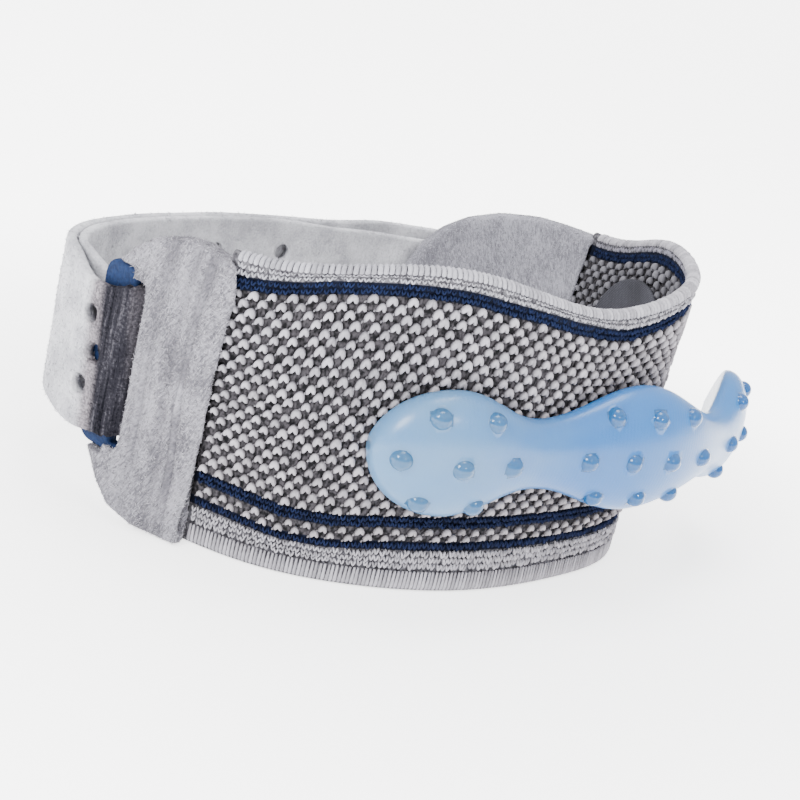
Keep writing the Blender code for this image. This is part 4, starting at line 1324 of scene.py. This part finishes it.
# %% Ridges and colour of the strap
def strap_felt():
    """Pale felt of the strap, with painted shade where it goes into the ring."""
    material, tree, shader = start_material("strap_felt", 0.95)
    where, (along, out, height) = flat_place(tree)
    near = add(tree, "ShaderNodeAttribute", {"attribute_name": "from_fold"}).outputs["Fac"]
    cloud = noise(tree, where, 140.0, 4.0, 0.6)
    mat = noise(tree, where, 2000.0, 4.0, 0.65)
    ridge = noise(tree, stretched(tree, where, (1.0, 1.0, 0.06)), 900.0, 3.0, 0.6)
    pale = ramp(tree, maths(tree, "MULTIPLY_ADD", cloud, 0.6, maths(tree, "MULTIPLY", mat, 0.4)),
                ((0.36, (0.28, 0.28, 0.305)), (0.64, (0.48, 0.48, 0.51))))
    # Painted shade where the strap dives into the ring: a plum half shade, then near black, with a
    # grain of ridges.
    fold_shade_grain = maths(tree, "MULTIPLY_ADD", ridge, 0.6, maths(tree, "MULTIPLY", mat, 0.4))
    painted_fold_shade = ramp(tree, fold_shade_grain, ((0.38, (0.003, 0.003, 0.005)), (0.50, (0.014, 0.0135, 0.018)),
                                 (0.66, (0.065, 0.062, 0.073))))
    plum_painted_half_shade = ramp(tree, mat, ((0.34, (0.085, 0.077, 0.087)), (0.66, (0.22, 0.20, 0.22))))
    lean_over = maths(tree, "MULTIPLY_ADD", height, -0.09, 0.00135)
    moved = maths(tree, "ADD", maths(tree, "MULTIPLY_ADD", cloud, 0.0016, near), lean_over)
    share = add(tree, "ShaderNodeMapRange", Value=moved, i1=-0.004, i2=0.012).outputs[0]
    in_painted_half_shade = ramp(tree, share, ((0.52, (1, 1, 1)), (0.72, (0, 0, 0))))
    in_painted_fold_shade = ramp(tree, share, ((0.0, (0.85, 0.85, 0.85)), (0.06, (1, 1, 1)),
                                 (0.36, (1, 1, 1)), (0.52, (0, 0, 0))))
    tree.links.new(mix(tree, in_painted_fold_shade, mix(tree, in_painted_half_shade, pale, plum_painted_half_shade), painted_fold_shade),
                   shader.inputs["Base Color"])
    shader.inputs["Specular IOR Level"].default_value = 0.05
    bump(tree, shader, maths(tree, "MULTIPLY_ADD", ridge, 0.5, maths(tree, "MULTIPLY", mat, 0.5)),
         0.0004, 0.8)
    return material


flat, normals = get_points(strap.data)
s, out, z = flat[:, 0], -flat[:, 1], flat[:, 2]
outer_layer = out > (inner_path(s) + outer_path(s)) / 2
from_fold = np.where(outer_layer | (s > FOLD), FOLD - s, 0.05 + FOLD - s)
close = np.exp(-((from_fold - 0.0005) / 0.0045) ** 2) * (outer_layer | (s > FOLD))
ridges = 0.00030 * np.sin(s * 2 * np.pi / 0.0016 + 0.5 * np.sin(z * 420)) * close
soft = 0.00010 * waves(flat, 8, 14, 0.030, 0.009)
flat += normals * (ridges + soft)[:, None]
strap.data.vertices.foreach_set("co", flat.ravel())
bend(smooth(strap))
kept = strap.data.attributes.new("from_fold", "FLOAT", "POINT")
kept.data.foreach_set("value", from_fold.astype(np.float32))
strap.data.materials.append(strap_felt())

# %% Fibres of the strap
strap_fibres = fibres_on("closure_strap_fibres", strap, strap.data.materials[0], 0.75e6, 0.5, 1.0,
                         1.38, 23)
print("strap fibres:", triangles(strap_fibres), "triangles")

# %% [markdown]
# ## Hook patch
# Under the free end lies a patch of tiny hooks that grip the felt. It hardly shows, so it
# is a thin plate with a bed of short bent hooks, laid by the same tree as the fibres.

# %% Hook patch
PATCH_LOW = 0.0190
PATCH_HIGH = 0.0410
rings = []
for s in spread(FREE_END + CLEARANCE, FREE_END + PATCH_LENGTH, 0.0011):
    low = float(inner_path(s)) + STRAP_THICKNESS / 2 + CLEARANCE
    rings.append([(s, low, PATCH_LOW), (s, low + 0.0005, PATCH_LOW),
                  (s, low + 0.0005, PATCH_HIGH), (s, low, PATCH_HIGH)])
patch = bend(loft("hook_patch_plate", rings))
hook_plastic, tree, shader = start_material("hook_plastic", 0.55)
where, parts = flat_place(tree)
grain = noise(tree, where, 1800.0, 2.0)
tree.links.new(ramp(tree, grain, ((0.3, (0.025, 0.025, 0.032)), (0.7, (0.06, 0.06, 0.075)))),
               shader.inputs["Base Color"])
bump(tree, shader, grain, 0.0001)
patch.data.materials.append(hook_plastic)
hooks = fibres_on("hook_patch_hooks", patch, hook_plastic, 2.0e6, 0.25, 0.32, 0.3, 31)
print("hooks:", triangles(hooks), "triangles")

# %% [markdown]
# ## Gel pad
# The pad is cast from soft clear blue gel, so it has no edge that is sharper than a
# millimetre. Three lobes and two waists come from one short table, and small domes sit on
# the round face. Light enters the gel and comes out again nearby, which is subsurface
# scattering, and part of it goes straight through.

# %% Gel pad curve
PAD_FIRST_LOBE = 0.2880 * KNIT_LENGTH
PAD_HEIGHT_AT = 0.0305
PAD_STANDS_OFF = 0.0125
PAD_LEAVES_OVER = 0.0700
PAD_PITCH = 0.2765 * KNIT_LENGTH
PAD_HALF_HEIGHT = 0.0124
PAD_THICKNESS = 0.0095
PAD_EDGE = 0.0022
PAD_END = 0.345
PAD_LOBE_RISES = (0.0, 0.0012, -0.0018)
PAD_FORM = (
    # distance from the middle, share of the pitch; half height and thickness, shares
    (0.00, 1.06, 1.00),
    (0.58, 0.56, 0.58),
    (1.00, 1.00, 0.94),
)


def pad_table():
    """The pad's own curve, which leaves the band after the first lobe."""
    s = np.linspace(PAD_FIRST_LOBE - PAD_PITCH, PAD_FIRST_LOBE + 3 * PAD_PITCH, 1200)
    gap = PAD_STANDS_OFF * (np.maximum(s - PAD_FIRST_LOBE, 0.0) / PAD_LEAVES_OVER) ** 3
    points = place(s, gap, np.full(len(s), KNIT_HEIGHT))[:, :2]
    steps = np.linalg.norm(np.diff(points, axis=0), axis=1)
    along = np.concatenate([[0.0], np.cumsum(steps)])
    slope = np.gradient(points, axis=0)
    slope /= np.linalg.norm(slope, axis=1)[:, None]
    along -= np.interp(PAD_FIRST_LOBE, s, along)
    return along, points, np.stack([slope[:, 1], -slope[:, 0]], axis=1), s


PAD_ALONG, PAD_CURVE, PAD_OUTWARD, PAD_BESIDE = pad_table()


def place_on_pad(along, out, z):
    """Places of flat points of the pad."""
    x, y = (np.interp(along, PAD_ALONG, PAD_CURVE[:, k]) for k in (0, 1))
    nx, ny = (np.interp(along, PAD_ALONG, PAD_OUTWARD[:, k]) for k in (0, 1))
    out = out - lean(np.interp(along, PAD_ALONG, PAD_BESIDE)) * (1.0 - z / KNIT_HEIGHT)
    return np.stack([x + nx * out, y + ny * out, z], axis=-1)


def pad_form(s):
    """Half height and thickness of the pad at a distance from its first lobe."""
    far = abs(s - PAD_PITCH) / PAD_PITCH
    last = PAD_FORM[-1]
    if far >= last[0]:
        share = max(1.0 - ((far - last[0]) / PAD_END) ** 2, 0.0) ** 0.5
        height, thick = last[1] * share, last[2] * (0.25 + 0.75 * share)
    for one, two in zip(PAD_FORM, PAD_FORM[1:]):
        if one[0] <= far <= two[0]:
            mixed = 0.5 - 0.5 * math.cos(math.pi * (far - one[0]) / (two[0] - one[0]))
            height = one[1] + (two[1] - one[1]) * mixed
            thick = one[2] + (two[2] - one[2]) * mixed
    return PAD_HALF_HEIGHT * height, PAD_EDGE + (PAD_THICKNESS - PAD_EDGE) * thick


def pad_rise(s):
    """How much higher the middle of the pad is at a distance from its first lobe."""
    place_now = min(max(s / PAD_PITCH, 0.0), 2.0)
    lobe = min(int(place_now), 1)
    low, high = PAD_LOBE_RISES[lobe], PAD_LOBE_RISES[lobe + 1]
    return low + (high - low) * float(ease(0.0, 1.0, place_now - lobe))


print("pad is about", round(1000 * (2 * PAD_PITCH * (1 + PAD_END))), "mm long")

# %% Gel pad body and studs
STUD_RADIUS = 0.0020
STUD_SUNK = 0.0006
STUD_PITCH = 0.0102
STUD_ROW_PITCH = 0.0082
STUD_ROWS = ((-1, 2, 3), (0, 3, 4), (1, 2, 3))


def pad_ring(s):
    """Section of the pad: a dome in front, with a rounded low back."""
    half, thick = pad_form(s)
    middle = PAD_HEIGHT_AT + pad_rise(s)
    ring = []
    for t in np.linspace(0, math.pi, 29):
        ring.append((s, CLEARANCE + PAD_EDGE + (thick - PAD_EDGE) * math.sin(t),
                     middle + half * math.cos(t)))
    for t in np.linspace(math.pi, 2 * math.pi, 17)[1:-1]:
        flat_back = math.copysign(abs(math.sin(t)) ** 0.5, math.sin(t))
        ring.append((s, CLEARANCE + PAD_EDGE + PAD_EDGE * flat_back,
                     middle + half * math.cos(t)))
    return ring


def stud_places():
    """Distance and rise of each stud, in staggered rows on the three lobes."""
    places = []
    for lobe in (0, 1, 2):
        for row, at_end, at_middle in STUD_ROWS:
            count = at_middle if lobe == 1 else at_end
            for i in range(count):
                places.append((lobe * PAD_PITCH + (i - (count - 1) / 2) * STUD_PITCH,
                               row * STUD_ROW_PITCH))
    return places


reach = PAD_PITCH * (1 + PAD_END)
turns = np.radians(np.linspace(-87, 87, 150))
pad = loft("gel_pad_body", [pad_ring(PAD_PITCH + reach * math.sin(t)) for t in turns])
studs = []
stud_middles = []
for s, rise in stud_places():
    half, thick = pad_form(s)
    front = CLEARANCE + PAD_EDGE + (thick - PAD_EDGE) * math.sqrt(1 - min(abs(rise) / half, 1) ** 2)
    bpy.ops.mesh.primitive_uv_sphere_add(segments=28, ring_count=16, radius=STUD_RADIUS,
                                         location=(s, STUD_SUNK - front,
                                                   PAD_HEIGHT_AT + pad_rise(s) + rise))
    studs.append(bpy.context.active_object)
    stud_middles.append(tuple(studs[-1].location))
for stud in studs:
    change = pad.modifiers.new("stud", "BOOLEAN")
    change.operation = "UNION"
    change.solver = "EXACT"
    change.object = stud
pad = plain(pad)
for stud in studs:
    bpy.data.objects.remove(stud)
middles = np.empty(3 * len(pad.data.polygons))
pad.data.polygons.foreach_get("center", middles)
reaches = np.linalg.norm(middles.reshape(-1, 1, 3) - np.array(stud_middles)[None], axis=2)
on_stud = (reaches.min(axis=1) < STUD_RADIUS * 1.01).astype(np.int32)
bend(smooth(pad), place_on_pad)
print("gel pad:", triangles(pad), "triangles and", len(studs), "studs")


# %% Gel
def gel(name, light, middle, deep, roughness, shine, grainy):
    """Clear blue gel, milky in its depth, with a soft shine."""
    material, tree, shader = start_material(name, roughness)
    where, (along, out, height) = flat_place(tree)
    cloud = noise(tree, where, 90.0, 3.0, 0.55)
    share = add(tree, "ShaderNodeMapRange", Value=along, i1=-0.005, i2=0.085).outputs[0]
    share = maths(tree, "MULTIPLY_ADD", cloud, 0.25, maths(tree, "MULTIPLY", share, 0.8))
    colour = ramp(tree, share, ((0.05, light), (0.45, middle), (0.9, deep)))
    tree.links.new(colour, shader.inputs["Base Color"])
    shader.inputs["Subsurface Weight"].default_value = 0.35
    shader.inputs["Subsurface Radius"].default_value = (0.5, 0.8, 1.0)
    shader.inputs["Subsurface Scale"].default_value = 0.003
    shader.inputs["Transmission Weight"].default_value = 0.04
    shader.inputs["IOR"].default_value = 1.41
    shader.inputs["Specular IOR Level"].default_value = 0.1
    shader.inputs["Coat Weight"].default_value = 0.6
    shader.inputs["Coat Roughness"].default_value = shine
    sparkle = noise(tree, where, 4200.0, 2.0)
    fine = maths(tree, "SINE", maths(tree, "MULTIPLY", along, 2 * math.pi / 0.0008))
    bump(tree, shader, maths(tree, "MULTIPLY_ADD", fine, 0.12, sparkle), 0.00006, grainy)
    return material


pad.data.materials.append(gel("blue_gel", (0.085, 0.185, 0.32), (0.018, 0.110, 0.31),
                              (0.014, 0.120, 0.33), 0.32, 0.26, 0.9))
pad.data.materials.append(gel("stud_gel", (0.030, 0.095, 0.185), (0.010, 0.070, 0.19),
                              (0.008, 0.070, 0.21), 0.08, 0.02, 0.1))
pad.data.polygons.foreach_set("material_index", on_stud)
print("gel is ready;", int(on_stud.sum()), "faces are on the studs")

# %% [markdown]
# ## Pocket and ring
# The gel pad of such a strap is worn behind a smooth lobed panel on the inside of the
# knit. The panel is a thin knitted cloth with a fine sheen, and its dark grey is partly
# its own colour and partly painted shade on the inside of the band. The ring is moulded,
# navy and a little rough.

# %% Pocket panel
POCKET_MARGIN = 0.0114
rings = []
for t in turns:
    s = PAD_PITCH + reach * math.sin(t)
    half = pad_form(s)[0] + POCKET_MARGIN
    high = -KNIT_WALL - CLEARANCE
    low = high - 0.0010
    ring = [(s, high, PAD_HEIGHT_AT + half * v) for v in np.linspace(1, -1, 25)]
    ring += [(s, low + 0.0003, PAD_HEIGHT_AT - half)]
    ring += [(s, low, PAD_HEIGHT_AT + (half - 0.0005) * v) for v in np.linspace(-1, 1, 25)]
    ring += [(s, low + 0.0003, PAD_HEIGHT_AT + half)]
    rings.append([(PAD_FIRST_LOBE + a, b, c) for a, b, c in ring])
pocket = bend(smooth(loft("pad_pocket_cloth", rings)))
pocket_cloth, tree, shader = start_material("pocket_cloth", 0.8)
where, (along, out, height) = flat_place(tree)
rib = maths(tree, "SINE", maths(tree, "MULTIPLY", along, 2 * math.pi / 0.0007))
row = maths(tree, "SINE", maths(tree, "MULTIPLY", height, 2 * math.pi / 0.0009))
weave = maths(tree, "MULTIPLY_ADD", maths(tree, "MULTIPLY", rib, row), 0.5, 0.5)
cloud = noise(tree, where, 120.0, 4.0)
both = maths(tree, "MULTIPLY_ADD", weave, 0.3, maths(tree, "MULTIPLY", cloud, 0.7))
# Partly painted shade: the panel is coloured near black for the shade inside the band.
tree.links.new(ramp(tree, both, ((0.2, (0.013, 0.013, 0.017)), (0.8, (0.042, 0.042, 0.052)))),
               shader.inputs["Base Color"])
shader.inputs["Specular IOR Level"].default_value = 0.2
bump(tree, shader, weave, 0.00015)
pocket.data.materials.append(pocket_cloth)
print("pocket:", triangles(pocket), "triangles")

# %% Ring
ring_plastic, tree, shader = start_material("ring_plastic", 0.75)
place_node = add(tree, "ShaderNodeTexCoord")
grain = noise(tree, place_node.outputs["Object"], 1400.0, 3.0)
tree.links.new(ramp(tree, grain, ((0.3, (0.003, 0.010, 0.036)), (0.7, (0.006, 0.018, 0.062)))),
               shader.inputs["Base Color"])
shader.inputs["Specular IOR Level"].default_value = 0.15
bump(tree, shader, grain, 0.0002)
ring_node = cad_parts["slot_ring"]
ring_node.data.materials.clear()
ring_node.data.materials.append(ring_plastic)
print("ring has", len(ring_node.data.polygons), "faces")

# %% [markdown]
# ## Last steps
# Every piece is tied to the body, the CAD node that it stands for is hidden, and the size
# of all that shows is printed.

# %% Last steps
for source in (LOOP_STITCH, V_STITCH, TOP_RIB, LOW_RIB, FIBRE):
    bpy.data.objects.remove(source)
for piece, node in (
    (knit, "knit_band"), (outer_stitches, "knit_band"), (inner_stitches, "knit_band"),
    (rim_ribs, "knit_band"), (near_tab, "near_tab"), (near_fibres, "near_tab"),
    (far_tab, "far_tab"), (far_fibres, "far_tab"), (strap, "closure_strap"),
    (strap_fibres, "closure_strap"), (patch, "hook_patch"), (hooks, "hook_patch"),
    (pad, "gel_pad"), (pocket, "pad_pocket"),
):
    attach(piece, "root")
    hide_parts(node)
low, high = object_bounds()
print("visual box in mm:", [round(1000 * v, 1) for v in high - low])
